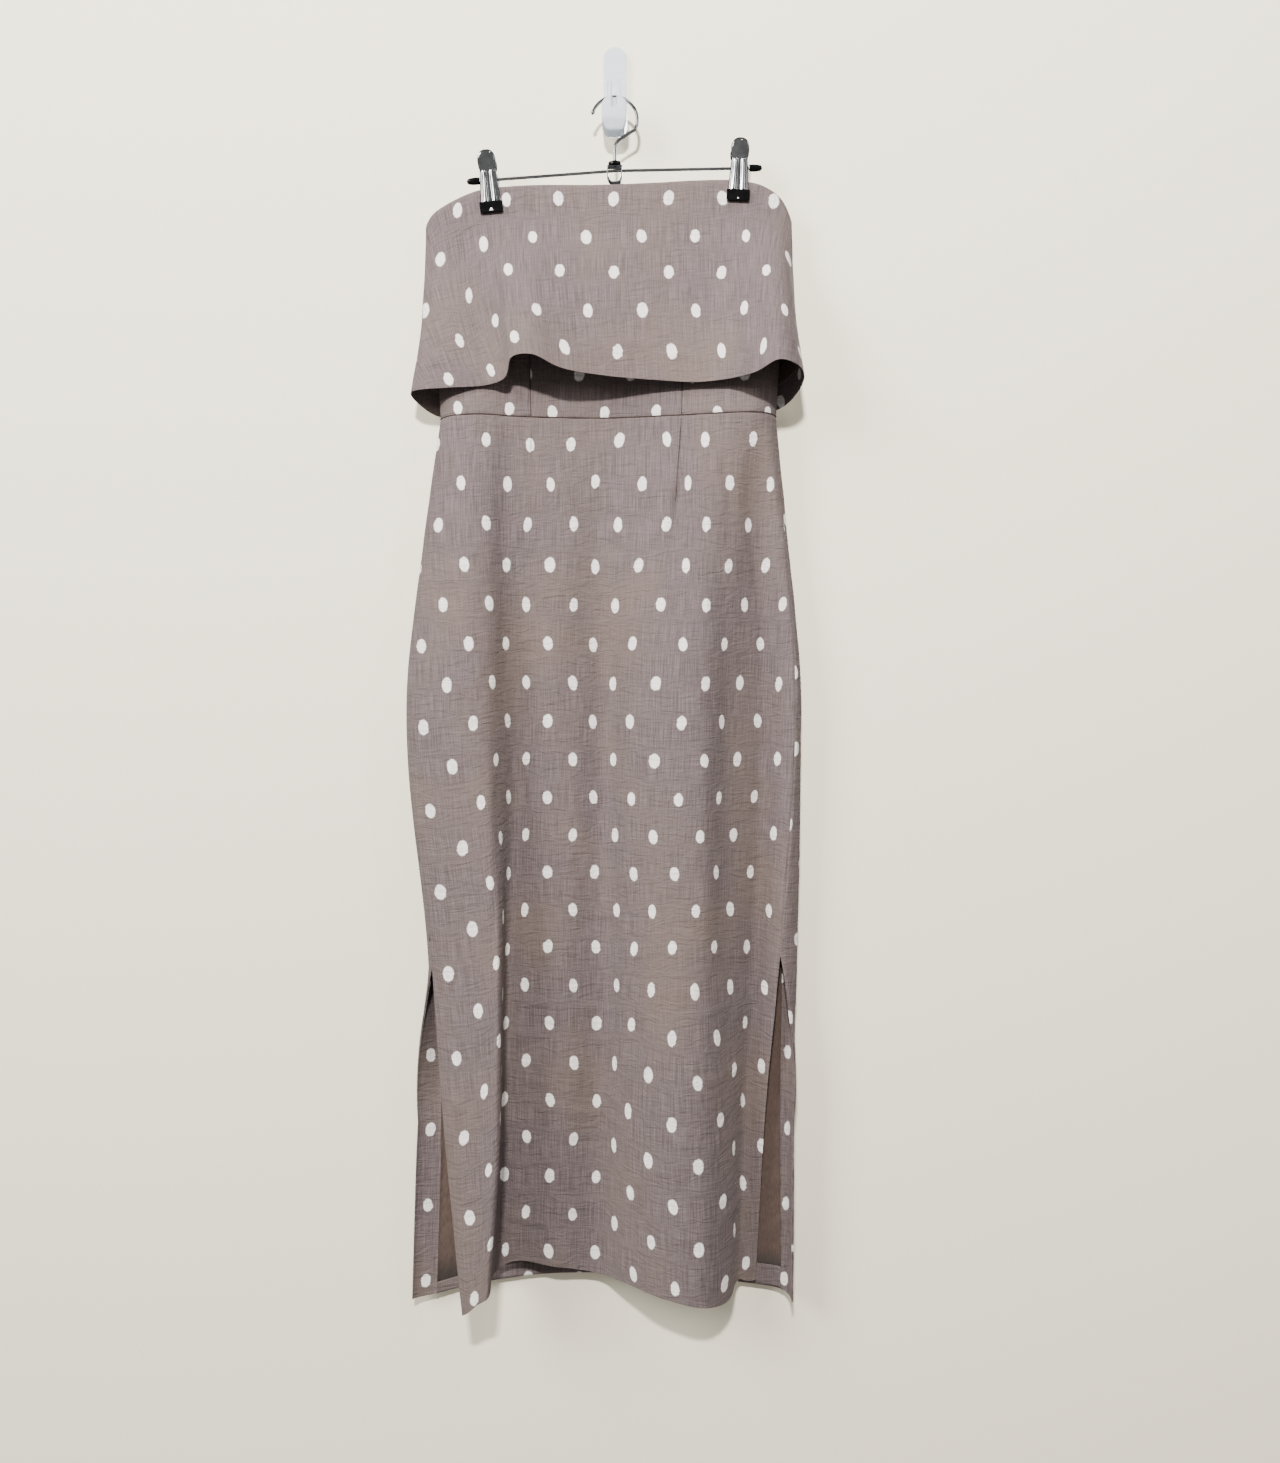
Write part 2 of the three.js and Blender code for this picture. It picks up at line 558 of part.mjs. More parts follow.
function buildHanger() {
  addPiece(group, 'hook_wire', barAlong(hookLine(), WIRE_RADIUS, WIRE_STEPS), chrome);
  const ringProfile = [
    [WIRE_RADIUS + GAP, RING.foot], [RING.radius, RING.foot], [RING.radius, RING.top],
    [WIRE_RADIUS + GAP, RING.top], [WIRE_RADIUS + GAP, RING.foot],
  ].map(([r, z]) => new THREE.Vector2(r, z));
  const ring = addPiece(group, 'collar_ring', new THREE.LatheGeometry(ringProfile, 20), black);
  ring.rotation.x = Math.PI / 2;
  ring.position.set(HOOK_STEM.across.at(-1), -HANG_OUT, 0);
  addPiece(group, 'collar_bracket', bracketGeometry(), chrome);
  const [left, , right] = ROD.across;
  const ends = [left + CAP_LENGTH, right - CAP_LENGTH];
  const rodPoints = [ends[0], ends[0] / 2, -12, 12, ends[1] / 2, ends[1]];
  const rodLine = rodPoints.map((x) => placed(x, HANG_OUT, rodHeight(x)));
  addPiece(group, 'rod', barAlong(rodLine, ROD_RADIUS, ROD_STEPS), chrome);
  const caps = [['rod_cap_left', ends[0], left], ['rod_cap_right', ends[1], right]];
  for (const [name, from, to] of caps) {
    const start = from + Math.sign(to) * GAP;
    const slope = (rodHeight(to) - rodHeight(from)) / (to - from);
    const profile = [
      [0, 0], [CAP_RADIUS - 0.6, 0], [CAP_RADIUS, 0.8], [CAP_RADIUS, CAP_LENGTH - 3],
      [CAP_RADIUS - 1.2, CAP_LENGTH - 0.8], [0, CAP_LENGTH],
    ].map(([r, along]) => new THREE.Vector2(r, along));
    const cap = addPiece(group, name, new THREE.LatheGeometry(profile, 14), black);
    cap.position.set(start, -HANG_OUT, rodHeight(start));
    cap.rotation.z = -Math.sign(to) * (Math.PI / 2);
    cap.rotation.order = 'YXZ';
    cap.rotation.y = -Math.atan(slope);
  }
}

// A strap bent round the rod, with holes for the rod and the hook's stem
function bracketGeometry() {
  const { half, depth, top, foot, wall, holeSides, holeReach } = BRACKET;
  const round = half - wall;
  const outer = outline([[-half, top], [-half, foot + round], [-half + 2, foot + 2], [-half + 5, foot],
    [half - 5, foot], [half - 2, foot + 2], [half, foot + round], [half, top]]);
  const window = outline([[-round, top - wall], [-round, foot + round], [-round + 2, foot + wall + 1],
    [-round + 4, foot + wall], [round - 4, foot + wall], [round - 2, foot + wall + 1],
    [round, foot + round], [round, top - wall]]);
  outer.holes.push(window);
  const strap = new THREE.ExtrudeGeometry(outer, { depth, bevelEnabled: false });
  strap.rotateX(Math.PI / 2);
  strap.translate(HOOK_STEM.across.at(-1), -HANG_OUT + depth / 2, 0);
  const rodLine = [-holeReach, 0, holeReach].map((x) => placed(x, HANG_OUT, rodHeight(x)));
  const rodHole = barAlong(rodLine, ROD_RADIUS + GAP, ROD_STEPS, holeSides);
  const stem = HOOK_STEM.across.at(-1);
  const stemLine = [top + half, top - half].map((z) => placed(stem, HANG_OUT, z));
  const stemHole = barAlong(stemLine, WIRE_RADIUS + GAP, 1, holeSides);
  return geometryOf(solidOf(strap).subtract(solidOf(rodHole)).subtract(solidOf(stemHole)));
}

// Grid of one face of a jaw. The front jaw has two raised ribs, and the back one is plain.
function jawGrid(facing, inset) {
  return JAW.height.map((height, j) => JAW_COLUMNS.map((share, i) => {
    const rib = facing > 0 ? JAW.rib[j] * JAW_RIBBED[i] : 0;
    return placed(share * JAW.half[j], facing * (JAW.out[j] + rib - inset), height);
  }));
}

function tipGeometry(facing) {
  const { half, top, foot, thick, corner } = TIP;
  const face = facing > 0 ? TIP.frontFace : TIP.backFace;
  const block = outline([[-half + corner, foot], [half - corner, foot], [half, foot + corner], [half, top],
    [-half, top], [-half, foot + corner]]);
  const geometry = new THREE.ExtrudeGeometry(block, { depth: thick, bevelEnabled: false });
  geometry.rotateX(Math.PI / 2);
  geometry.translate(0, facing > 0 ? -face : face + thick, 0);
  return geometry;
}

function buildClip({ side, across, lean }) {
  const clip = new THREE.Group();
  clip.position.set(across, -HANG_OUT, rodHeight(across));
  clip.rotation.y = THREE.MathUtils.degToRad(lean);
  group.add(clip);
  for (const [face, facing] of [['front', 1], ['back', -1]]) {
    const jaw = wallBetween(jawGrid(facing, 0), jawGrid(facing, JAW_WALL), facing < 0);
    addPiece(clip, `clip_${side}_${face}_jaw`, jaw, chrome);
    addPiece(clip, `clip_${side}_${face}_tip`, tipGeometry(facing), black);
  }
  const { inner, outer, length } = SPRING;
  const coil = [[inner, 0], [outer, 0], [outer, length], [inner, length], [inner, 0]];
  const profile = coil.map(([r, along]) => new THREE.Vector2(r, along - length / 2));
  const spring = addPiece(clip, `clip_${side}_spring`, new THREE.LatheGeometry(profile, 16), chrome);
  spring.rotation.z = Math.PI / 2;
}

function buildWallHook() {
  const { half, top, foot, thick } = PLATE;
  const plate = new THREE.Shape();
  plate.moveTo(-half, foot);
  plate.lineTo(half, foot);
  plate.lineTo(half, top - half + 1);
  plate.absellipse(0, top - half + 1, half, half - 1, 0, Math.PI, false);
  plate.lineTo(-half, foot);
  const plateSolid = new THREE.ExtrudeGeometry(plate, { depth: thick, bevelEnabled: false, curveSegments: 14 });
  plateSolid.rotateX(Math.PI / 2);
  addPiece(group, 'wall_hook_plate', plateSolid, clear);

  // The hook part is its side profile and its front outline at once
  const side = new THREE.ExtrudeGeometry(outline(LOBE_PROFILE), { depth: 2 * LOBE_HALF, bevelEnabled: false });
  const turn = new THREE.Matrix4().set(0, 0, -1, LOBE_HALF, -1, 0, 0, 0, 0, 1, 0, 0, 0, 0, 0, 1);
  side.applyMatrix4(turn);
  const lip = LIP_HALF;
  const lobe = LOBE_HALF;
  const front = outline([[-lip + 2, -4], [-lip, -7], [-lip, -23], [-lobe + 2, -26], [-lobe, -30], [-lobe, -47],
    [-lobe + 3, -54], [-lobe + 7, -58], [-3, -60], [3, -60], [lobe - 7, -58], [lobe - 3, -54],
    [lobe, -47], [lobe, -30], [lobe - 2, -26], [lip, -23], [lip, -7], [lip - 2, -4]]);
  const block = new THREE.ExtrudeGeometry(front, { depth: LOBE_DEPTH, bevelEnabled: false });
  block.rotateX(Math.PI / 2);
  const slot = new THREE.BoxGeometry(2 * SLOT_HALF, SLOT.depth, SLOT.length);
  slot.translate(0, -SLOT.out, SLOT.middle);
  const groove = barAlong(hookLine(), WIRE_RADIUS + GAP, WIRE_STEPS);
  const hook = solidOf(side).intersect(solidOf(block)).subtract(solidOf(slot)).subtract(solidOf(groove));
  addPiece(group, 'wall_hook_lobe', geometryOf(hook), clear);
}

buildWallHook();
buildHanger();
CLIPS.forEach(buildClip);
buildOverlay();
buildBodice();
buildSkirt();
buildBackInside();

export default group;
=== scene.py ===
import math

import bpy
import numpy as np
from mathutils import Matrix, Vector


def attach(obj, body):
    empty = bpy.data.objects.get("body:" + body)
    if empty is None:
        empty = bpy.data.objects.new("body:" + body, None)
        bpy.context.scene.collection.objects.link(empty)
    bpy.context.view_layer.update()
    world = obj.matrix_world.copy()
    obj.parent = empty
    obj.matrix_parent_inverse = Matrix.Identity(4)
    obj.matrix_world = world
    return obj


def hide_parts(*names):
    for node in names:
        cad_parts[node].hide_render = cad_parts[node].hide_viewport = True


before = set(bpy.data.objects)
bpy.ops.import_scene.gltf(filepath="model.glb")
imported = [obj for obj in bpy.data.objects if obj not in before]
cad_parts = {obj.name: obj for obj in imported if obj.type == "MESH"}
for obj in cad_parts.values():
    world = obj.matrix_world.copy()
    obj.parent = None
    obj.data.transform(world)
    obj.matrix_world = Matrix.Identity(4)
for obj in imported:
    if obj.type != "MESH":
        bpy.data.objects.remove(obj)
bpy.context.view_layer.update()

# Sizes in this file are millimetres, with +X to the viewer's right, +Z up and "out" the distance
# from the wall. The meshes are made in metres.
MM = 0.001
# The rod's distance from the wall, how far the back's free edges spread where a slit opens, and the
# step in from the face cloth to the lining
HANG_OUT = 26
FLUTTER = 5
LAYER = 1.3
# How wide the rolled edges are, and how far they turn in
ROLL_WIDTH = 1.6
ROLL_FALL = 0.7

# Stations down the body, as a share of the length from the waist seam to the hem
SKIRT_STATIONS = [0, 0.13, 0.33, 0.62, 0.8, 1]
SLIT_TOP = 0.62
SKIRT_LENGTH = 900
BODICE_STATIONS = [0, 0.14, 1]
OVERLAY_STATIONS = [0, 0.15, 0.55, 1]

TOP_ACROSS = [-197, -190, -179, -162, -139, -119, -76, 6, 36, 81, 105, 136, 151, 165, 174, 180, 185]
TOP_HEIGHT = [-152, -143, -135, -126, -117, -114.4, -112, -112, -110, -107.6, -106.5, -108.4, -111.7,
              -120.4, -127.2, -136.5, -148]
BACK_DIP = 10
BACK_DIP_HALF = 190
WAIST_HEIGHT = -352.1
WAIST_SLOPE = 0.0077

# Body front: fold, across and out at the top edge, waist, upper hip, hip, slit top, knee and hem,
# then the height of the hem
BODY_FRONT = [
    ("left seam", [-193.5, -181, -197, -214, -187, -173, -153], [19.5, 22, 26, 36, 44, 54, 66], -1265),
    ("left roll", [-184, -169, -182, -195, -170, -162, -146], [25.5, 38, 44, 54, 57, 63, 73], -1259),
    ("left crest", [-150, -142, -150, -152, -134, -135, -135], [27.15, 46, 58, 68, 70, 74, 79], -1248),
    ("crest edge", [-131, -125, -128, -127, -115, -115, -125], [27.15, 43, 53, 63, 75, 80, 82], -1241),
    ("crease foot", [-115, -109, -109, -101, -110, -115, -124], [27.15, 37, 40, 27, 26, 24, 24], -1239),
    ("left dart", [-92, -86, -86, -72, -90, -96, -105], [27.15, 32, 34, 31, 27, 25, 25], -1227),
    ("plateau", [-55, -51, -50, -41, -51, -54, -61], [27.15, 27, 32, 27, 30, 30, 29], -1231),
    ("centre valley", [-12, -12, -15, -9, -12, -14, -17], [27.15, 24, 24, 15, 19, 18, 20], -1241),
    ("right flank", [30, 26, 22, 18, 14, 13, 12], [27.15, 28, 34, 42, 46, 46, 47], -1240),
    ("right crest", [76, 69, 61, 51, 50, 48, 48], [27.15, 35, 44, 61, 68, 70, 71], -1245),
    ("crest shoulder", [104, 96, 94, 89, 90, 89, 91], [27.15, 40, 48, 62, 68, 72, 73], -1254),
    ("right fall", [128, 123, 122, 115, 122, 119, 117], [27.15, 45, 40, 39, 38, 44, 46], -1258),
    ("right valley", [150, 144, 153, 159, 148, 136, 129], [27.15, 46, 22, 15, 17, 17, 17], -1249),
    ("side ridge", [168, 158, 169, 177, 161, 148, 138], [25.5, 39, 28, 31, 25, 20, 14], -1252),
    ("right seam", [182, 168, 177, 187, 171, 156, 147], [19.5, 22, 24, 34, 33, 25, 15], -1251),
]
FRONT_LEFT_PRINCESS = 5
FRONT_RIGHT_PRINCESS = 9
FRONT_LAST = 14

# Body back, the same columns, then the sag of its free edges below the slit tops
BODY_BACK = [
    ("left seam", [-193.5, -181, -197, -214, -187, -206, -212], [19.5, 22, 26, 36, 44, 14, 14], -1265, 5),
    ("left turn", [-186, -178, -194, -211, -192, -198, -204], [15.5, 13, 15, 20, 22, 11, 11], -1269, 0),
    ("left facing", [-170, -166, -181, -196, -186, -182, -186.5], [17, 9.5, 10, 10, 11, 9, 9], -1266, 0),
    ("left side", [-143, -125, -138, -145, -140, -140, -143], [24.3, 9, 7, 6, 7, 7, 7], -1256, 0),
    ("left rib", [-105, -66, -75, -78, -76, -75, -76], [24.3, 8, 5, 4.5, 5, 5.5, 6], -1247, 0),
    ("centre seam", [-8, -8, -8, -8, -8, -9, -10], [24.3, 9, 8, 7, 7, 7, 7], -1245, 0),
    ("right rib", [104, 52, 58, 62, 62, 60, 60], [24.3, 8, 5, 4.5, 5, 5.5, 6], -1247, 0),
    ("right side", [143, 112, 125, 130, 128, 125, 124], [24.3, 9, 7, 6, 7, 7, 7], -1254, 0),
    ("right facing", [160, 148, 160, 176, 176, 174, 175], [18, 9, 8, 9, 10, 10, 10], -1261, 0),
    ("right turn", [176, 165, 179, 194, 190, 183, 183], [16.5, 13, 13, 16, 20, 17, 17], -1264, 0),
    ("right seam", [182, 168, 177, 187, 171, 186, 185], [19.5, 22, 24, 34, 33, 34, 34], -1251, 14),
]
BACK_LEFT_FACING = 2
BACK_CENTRE = 5
BACK_RIGHT_FACING = 8
BACK_LAST = 10
HEM_TURN_LEFT = 11
HEM_TURN_RIGHT = 24

# Overlay front: fold, across and out at the top edge, the middle and the hem, then the hem's height
OVERLAY_FRONT = [
    ("left seam", [-197, -199, -210], [20, 30, 34], -329),
    ("left roll", [-188, -189, -198], [26, 38, 47], -329),
    ("left flat", [-162, -164, -168], [28.45, 40, 51], -328),
    ("fold foot", [-135, -133, -127], [28.45, 38, 48], -324),
    ("fold face", [-127, -121, -110], [28.45, 43, 58], -319),
    ("fold edge", [-119, -112, -103], [28.45, 49, 70], -303),
    ("left crest", [-98, -89, -82], [28.45, 54, 79], -302),
    ("crest slope", [-67, -59, -53], [28.45, 49, 70], -313),
    ("middle", [-20, -17, -14], [28.45, 43, 58], -317),
    ("right dip", [37, 38, 37], [28.45, 37, 48], -319),
    ("right flat", [85, 86, 87], [28.45, 36, 47], -321),
    ("rise", [116, 119, 120], [28.45, 41, 58], -320),
    ("right slope", [135, 139, 143], [28.45, 52, 79], -319),
    ("right crest", [156, 160, 163], [28.45, 60, 92], -311),
    ("right roll", [174, 178, 179], [26.5, 54, 84], -312),
    ("right seam", [185, 186, 193], [20, 36, 56], -316),
]
OVERLAY_BACK = [
    ("left seam", [-197, -199, -210], [20, 30, 34], -329),
    ("left turn", [-190, -196, -207], [13.5, 17, 20], -334),
    ("left side", [-172, -175, -186], [15, 10, 9], -347),
    ("left clip", [-143, -130, -135], [22.9, 11, 4], -349),
    ("left rib", [-104, -72, -74], [22.9, 9, 2.5], -348),
    ("centre seam", [-8, -8, -8], [22.9, 9, 3.5], -346),
    ("right rib", [103, 62, 64], [22.9, 9, 2.5], -344),
    ("right clip", [142, 128, 130], [22.9, 11, 4], -343),
    ("right side", [163, 165, 172], [14, 10, 11], -340),
    ("right turn", [180, 184, 190], [14.5, 18, 33], -326.5),
    ("right seam", [185, 186, 193], [20, 36, 56], -316),
]
OVERLAY_LAST = 15

# Rows of the solids' grids, and the rows where the linings and facings start or end
OVERLAY_ROWS = 9
OVERLAY_LINING_TOP = 5
OVERLAY_LINING_FOOT = 8
SKIRT_ROWS = 22
SKIRT_LINING_TOP = 1
SLIT_FACING_TOP = 14
# The bodice, the linings and the turned edges are a little thinner than the outer cloth
INNER_WALL = 0.8
# How far down from the slit's top the edges spread and part, as a share of the skirt's length
FLUTTER_RUN = 0.18
SLIT_RUN = 0.08
# How far along the back's spots start, in metres
BACK_SPOTS_SHIFT = 0.013
OVERLAY_BACK_SPOTS_SHIFT = 0.02
# The photo's middle in mm and in pixels, and the size of a pixel at the bodice in mm
PHOTO_MIDDLE_X = 26.4
PHOTO_MIDDLE_COLUMN = 640
BODICE_PIXEL = 1.03

# The spots lie on a diamond lattice. SPOT_INDEX gives each fold's place in columns of spots, at the
# skirt's stations from the waist to the hem, and at the overlay's top edge, middle and hem.
SPOT_PITCH = 54
SPOT_ROW = 39.56
SPOT_FIRST = 28.5
OVERLAY_PITCH = 56
OVERLAY_SPOT_ROW = 39
OVERLAY_SPOT_FIRST = 15
SPOT_HALF_WIDTH = 5.2
SPOT_HALF_HEIGHT = 7.2
# How much the spots lean and differ in size, where their edge lies, and how far it wavers in metres
SPOT_LEAN = 0.22
SPOT_UNEVEN = 0.14
SPOT_EDGE = (0.86, 1.1)
WAVER_SCALE = 260.0
WAVER_REACH = 0.0022
# Colours are 0 to 255. The renderer lifts mid tones, so they are darker than the cloth looks.
RIB_DARK = (88, 78, 78)
RIB_LIGHT = (114, 103, 104)
SLUB = (84, 75, 75)
SLUB_SHARE = 0.2
WARM_PATCH = (112, 98, 90)
PATCH_SHARE = 0.5
SPOT_DARK = (226, 220, 215)
SPOT_LIGHT = (252, 250, 247)
LINING_DARK = (76, 62, 56)
LINING_LIGHT = (88, 73, 66)
# The seams' cords take this dark tone as painted shadow: it stands in for the shade in each seam's groove.
SEAM_SHADOW_TONE = (52, 43, 40)
# How deep the cloth's threads and short wrinkles look, in metres
THREAD_DEPTH = 0.0005
WRINKLE_DEPTH = 0.0022
SKIRT_SPOT_INDEX = [
    [-2.4, -2.2, -1.72, -1.38, -1.0, -.5, .4, 1.17, 1.9, 2.85, 3.58, 4.08, 4.5, 4.85, 5.1],
    [-2.85, -2.55, -1.93, -1.47, -.98, -.42, .32, 1.1, 1.9, 2.65, 3.5, 4.08, 4.85, 5.25, 5.45],
    [-3.4, -3.03, -2.2, -1.65, -.72, -.06, .54, 1.33, 2.05, 2.66, 3.42, 4.14, 5.2, 5.7, 5.9],
    [-3.35, -3.03, -2.4, -1.95, -.95, -.42, .33, 1.15, 1.82, 2.8, 3.7, 4.6, 5.25, 5.6, 5.85],
    [-3.4, -3.2, -2.7, -2.2, -1.0, -.6, .25, 1.1, 1.97, 2.8, 3.58, 4.3, 5.1, 5.4, 5.6],
    [-3.3, -3.17, -2.93, -2.65, -1.3, -.78, .15, 1.07, 1.8, 2.7, 3.6, 4.1, 4.8, 5.0, 5.2],
]
OVERLAY_SPOT_STATIONS = [0, 0.55, 1]
OVERLAY_SPOT_INDEX = [
    [-3.6, -3.45, -2.95, -2.37, -2.25, -2.12, -1.72, -1.15, -.33, .66, 1.52, 2.07, 2.4, 2.8, 3.15, 3.45],
    [-4.1, -3.9, -3.4, -2.6, -2.35, -2.1, -1.65, -1.08, -.3, .67, 1.55, 2.18, 2.65, 3.15, 3.6, 3.9],
    [-4.75, -4.6, -4.05, -3.15, -2.6, -2.15, -1.7, -1.1, -.35, .57, 1.5, 2.25, 2.85, 3.4, 3.8, 4.2],
]

# How far the spots hang below their level, in mm, by fold and share of the way down
DROP_PLACES = [0.03, 0.08, 0.18, 0.33, 0.45, 0.62, 0.72, 0.82, 1]
SKIRT_DROP = [
    (0, [-2, 4, 8, 14, 21, 26, 32, 33, 34]),
    (1.2, [-2, 4, 8, 13, 20, 26, 32, 33, 34]),
    (2.2, [-2, 4, 9, 11, 13, 17, 22, 24, 26]),
    (3, [-2, 3, 8, 9, 8, 12, 12, 13, 13]),
    (4, [-1, 3, 7, 8, 7, 7, 4, 5, 4]),
    (5.6, [2, 2, 6, 9, 9, 4, 4, 4, 1]),
    (6.9, [-4, -2, 8, 10, 9, 7, 8, 10, 8]),
    (8.1, [-6, 3, 8, 10, 10, 4, 1, 14, 17]),
    (9.2, [-2, 4, 10, 13, 10, -1, 13, 19, 23]),
    (10.5, [-1, 4, 12, 12, 9, 0, 17, 20, 30]),
    (11.7, [-2, 4, 7, 10, 10, 8, 6, 10, 26]),
    (12.6, [-2, 4, 7, 13, 8, 10, 10, 16, 24]),
    (14, [-2, 4, 7, 11, 13, 14, 14, 16, 20]),
]
OVERLAY_DROP_PLACES = [0.06, 0.28, 0.5, 0.72, 0.9]
OVERLAY_DROP = [
    (0, [-3, 0, 1, 4, 10]),
    (1, [-3, 0, 5, 14, 18]),
    (2.3, [-3, 3, 17, 25, 25]),
    (3.5, [-3, 4, 10, 14, 23]),
    (4.4, [-2, 4, 4, 9, 12]),
    (5.2, [-2, 3, 2, 9, 2]),
    (6.3, [-1, 3, 4, 16, 8]),
    (7.4, [-1, 1, 4, 9, 14]),
    (9, [1, 2, 1, 5, 10]),
    (10.6, [4, 6, 6, 9, 14]),
    (12, [4, 5, 9, 14, 27]),
    (13.6, [-7, 4, 11, 11, 6]),
    (15, [-7, 4, 9, 0, -19]),
]

# Where a crease's taper starts and ends, as a share of its length, how full the crease is between,
# and how deep the lining's puckers are against their table
CREASE_TIP = 0.02
CREASE_FULLNESS = 0.6
PUCKER_DEPTH = 1.1

# Creases: across and height of the start, then of the end, the width, and the depth or rise
SKIRT_FRONT_CREASES = [
    (-82, -357, -83, -412, 3, -0.7), (69, -354, 68, -420, 3, -1.0), (69, -408, 60, -488, 4.5, -3.8),
    (61, -404, 51, -490, 7, 2.2),
    (-113, -445, -115, -525, 7, -1.6), (-100, -440, -103, -520, 9, 1.0), (-111, -535, -114, -650, 6, -1.4),
    (-116, -700, -119, -815, 4, -1.6), (-118, -800, -121, -940, 4, -2.0), (-119, -915, -122, -1060, 4, -1.8),
    (138, -392, 141, -472, 8, -1.8), (141, -468, 153, -558, 6, -2.4), (153, -552, 156, -645, 5, -2.2),
    (156, -640, 149, -800, 7, -2.0), (150, -790, 143, -940, 7, -1.6), (106, -560, 103, -720, 10, 1.6),
    (118, -590, 116, -740, 8, -1.6), (92, -700, 90, -900, 11, 1.4), (112, -740, 108, -930, 9, -1.4),
    (146, -758, 160, -776, 4, -1.6), (150, -772, 163, -786, 4, 1.0), (168, -681, 191, -683, 4, -1.0),
    (170, -716, 190, -719, 4, -0.9), (172, -816, 192, -820, 4, -1.0), (171, -840, 188, -846, 5, 0.8),
    (-15, -484, 12, -489, 5, -1.3), (-27, -452, 27, -464, 10, -1.8), (-20, -500, 20, -503, 7, 0.9),
    (-180, -434, -147, -446, 11, -2.0), (-190, -532, -148, -545, 12, -1.8), (-188, -480, -160, -488, 9, 1.1),
    (-103, -600, -85, -591, 4, -1.3), (-100, -612, -80, -604, 4, 0.9), (-60, -420, -55, -500, 12, -1.2),
    (-34, -540, -38, -650, 13, -1.3), (-62, -560, -64, -700, 12, 1.2), (8, -420, 2, -520, 11, 1.2),
    (34, -400, 30, -470, 9, -1.1), (102, -380, 106, -470, 10, 1.3), (118, -400, 121, -490, 9, -1.3),
    (-210, -728, -192, -731, 4, -1.2), (-212, -808, -198, -812, 5, -1.5), (-200, -887, -182, -893, 4, -1.4),
    (-150, -680, -146, -760, 10, -1.2), (-165, -840, -158, -950, 11, -1.3),
    (-150, -960, -146, -1080, 10, 1.2), (-142, -1090, -146, -1190, 9, -1.2),
    (-165, -1050, -150, -1058, 5, 1.0), (-150, -1146, -132, -1140, 5, 1.0),
    (-103, -959, -55, -956, 4, 1.3), (-112, -993, -71, -990, 4, 1.0), (-50, -963, 4, -969, 5, 1.2),
    (-97, -1037, -68, -1042, 4, 1.2), (-117, -1084, -86, -1078, 4, 1.1), (-64, -1068, -15, -1076, 5, 1.3),
    (-111, -1125, -80, -1122, 4, 1.0), (-55, -1107, -10, -1103, 5, -1.2), (-115, -1179, -73, -1186, 4, 1.5),
    (-112, -1186, -76, -1193, 4, -1.0), (-55, -1173, -5, -1164, 5, 1.2), (-7, -1051, 7, -1064, 4, 1.4),
    (-8, -1074, 9, -1083, 4, 1.2), (78, -963, 119, -957, 4, 1.2), (26, -1014, 57, -1010, 4, 1.1),
    (88, -1030, 134, -1022, 5, 1.2), (42, -1084, 78, -1089, 4, 1.2), (93, -1096, 141, -1088, 5, 1.3),
    (26, -1122, 55, -1117, 4, 1.0), (47, -1183, 88, -1188, 4, 1.2), (103, -1173, 134, -1165, 5, 1.1),
    (-40, -880, 2, -876, 5, -1.1), (-92, -905, -62, -910, 4, 1.0), (-85, -820, -52, -825, 5, -1.0),
    (8, -905, 48, -899, 5, 1.1), (60, -870, 84, -878, 4, -1.0), (-88, -740, -60, -737, 5, 0.9),
    (-10, -930, -12, -1010, 11, -1.3), (20, -1130, 18, -1225, 12, -1.4), (-40, -1010, -42, -1100, 12, 1.1),
    (70, -1010, 68, -1110, 12, 1.2), (118, -1040, 121, -1130, 10, -1.3), (-90, -1205, -92, -1232, 8, -1.2),
]
SKIRT_BACK_CREASES = [
    (-160, -430, -150, -520, 10, -0.6), (-120, -380, -118, -470, 9, 1.4), (-95, -430, -99, -560, 11, -0.6),
    (-60, -380, -64, -450, 9, -0.5), (-40, -470, -42, -600, 12, 1.5), (-150, -600, -158, -760, 12, 1.6),
    (-110, -640, -106, -820, 13, -0.6), (-70, -700, -76, -860, 12, 1.4), (-30, -650, -34, -780, 10, -0.5),
    (-185, -690, -165, -696, 5, -0.5), (-190, -770, -168, -778, 5, 1.1), (-180, -850, -160, -846, 5, -0.5),
    (-140, -880, -98, -888, 5, 1.2), (-90, -930, -50, -925, 5, 1.1), (-150, -985, -112, -978, 4, 1.2),
    (-95, -1010, -60, -1018, 5, -0.4), (-165, -1060, -128, -1068, 5, 1.1), (-105, -1085, -62, -1078, 4, 1.3),
    (-150, -1130, -110, -1137, 5, 1.2), (-85, -1150, -38, -1144, 5, 1.1), (-140, -1190, -100, -1184, 4, 1.2),
    (-60, -1205, -24, -1211, 4, 1.0), (-120, -960, -124, -1090, 12, -0.5), (-50, -1000, -48, -1120, 12, 1.3),
    (150, -420, 146, -520, 9, -0.6), (112, -390, 116, -480, 10, 1.4), (84, -440, 80, -580, 12, -0.6),
    (44, -390, 46, -470, 9, 1.2), (28, -520, 24, -650, 11, -0.5), (140, -590, 146, -740, 11, 1.6),
    (100, -640, 96, -800, 13, -0.6), (58, -700, 62, -850, 12, 1.4), (20, -760, 18, -880, 10, -0.5),
    (160, -660, 184, -668, 5, -0.5), (158, -745, 182, -739, 5, 1.2), (150, -830, 178, -838, 5, -0.4),
    (90, -870, 134, -863, 5, 1.2), (30, -915, 74, -922, 5, 1.1), (100, -960, 140, -968, 4, 1.2),
    (38, -1000, 78, -994, 5, -0.4), (110, -1045, 152, -1038, 5, 1.2), (24, -1070, 62, -1077, 4, 1.2),
    (90, -1110, 134, -1118, 5, 1.1), (30, -1150, 70, -1143, 5, 1.2), (100, -1180, 146, -1187, 4, 1.2),
    (20, -1205, 56, -1199, 4, 1.0), (120, -970, 124, -1090, 12, -0.5), (60, -1010, 56, -1130, 12, 1.2),
]
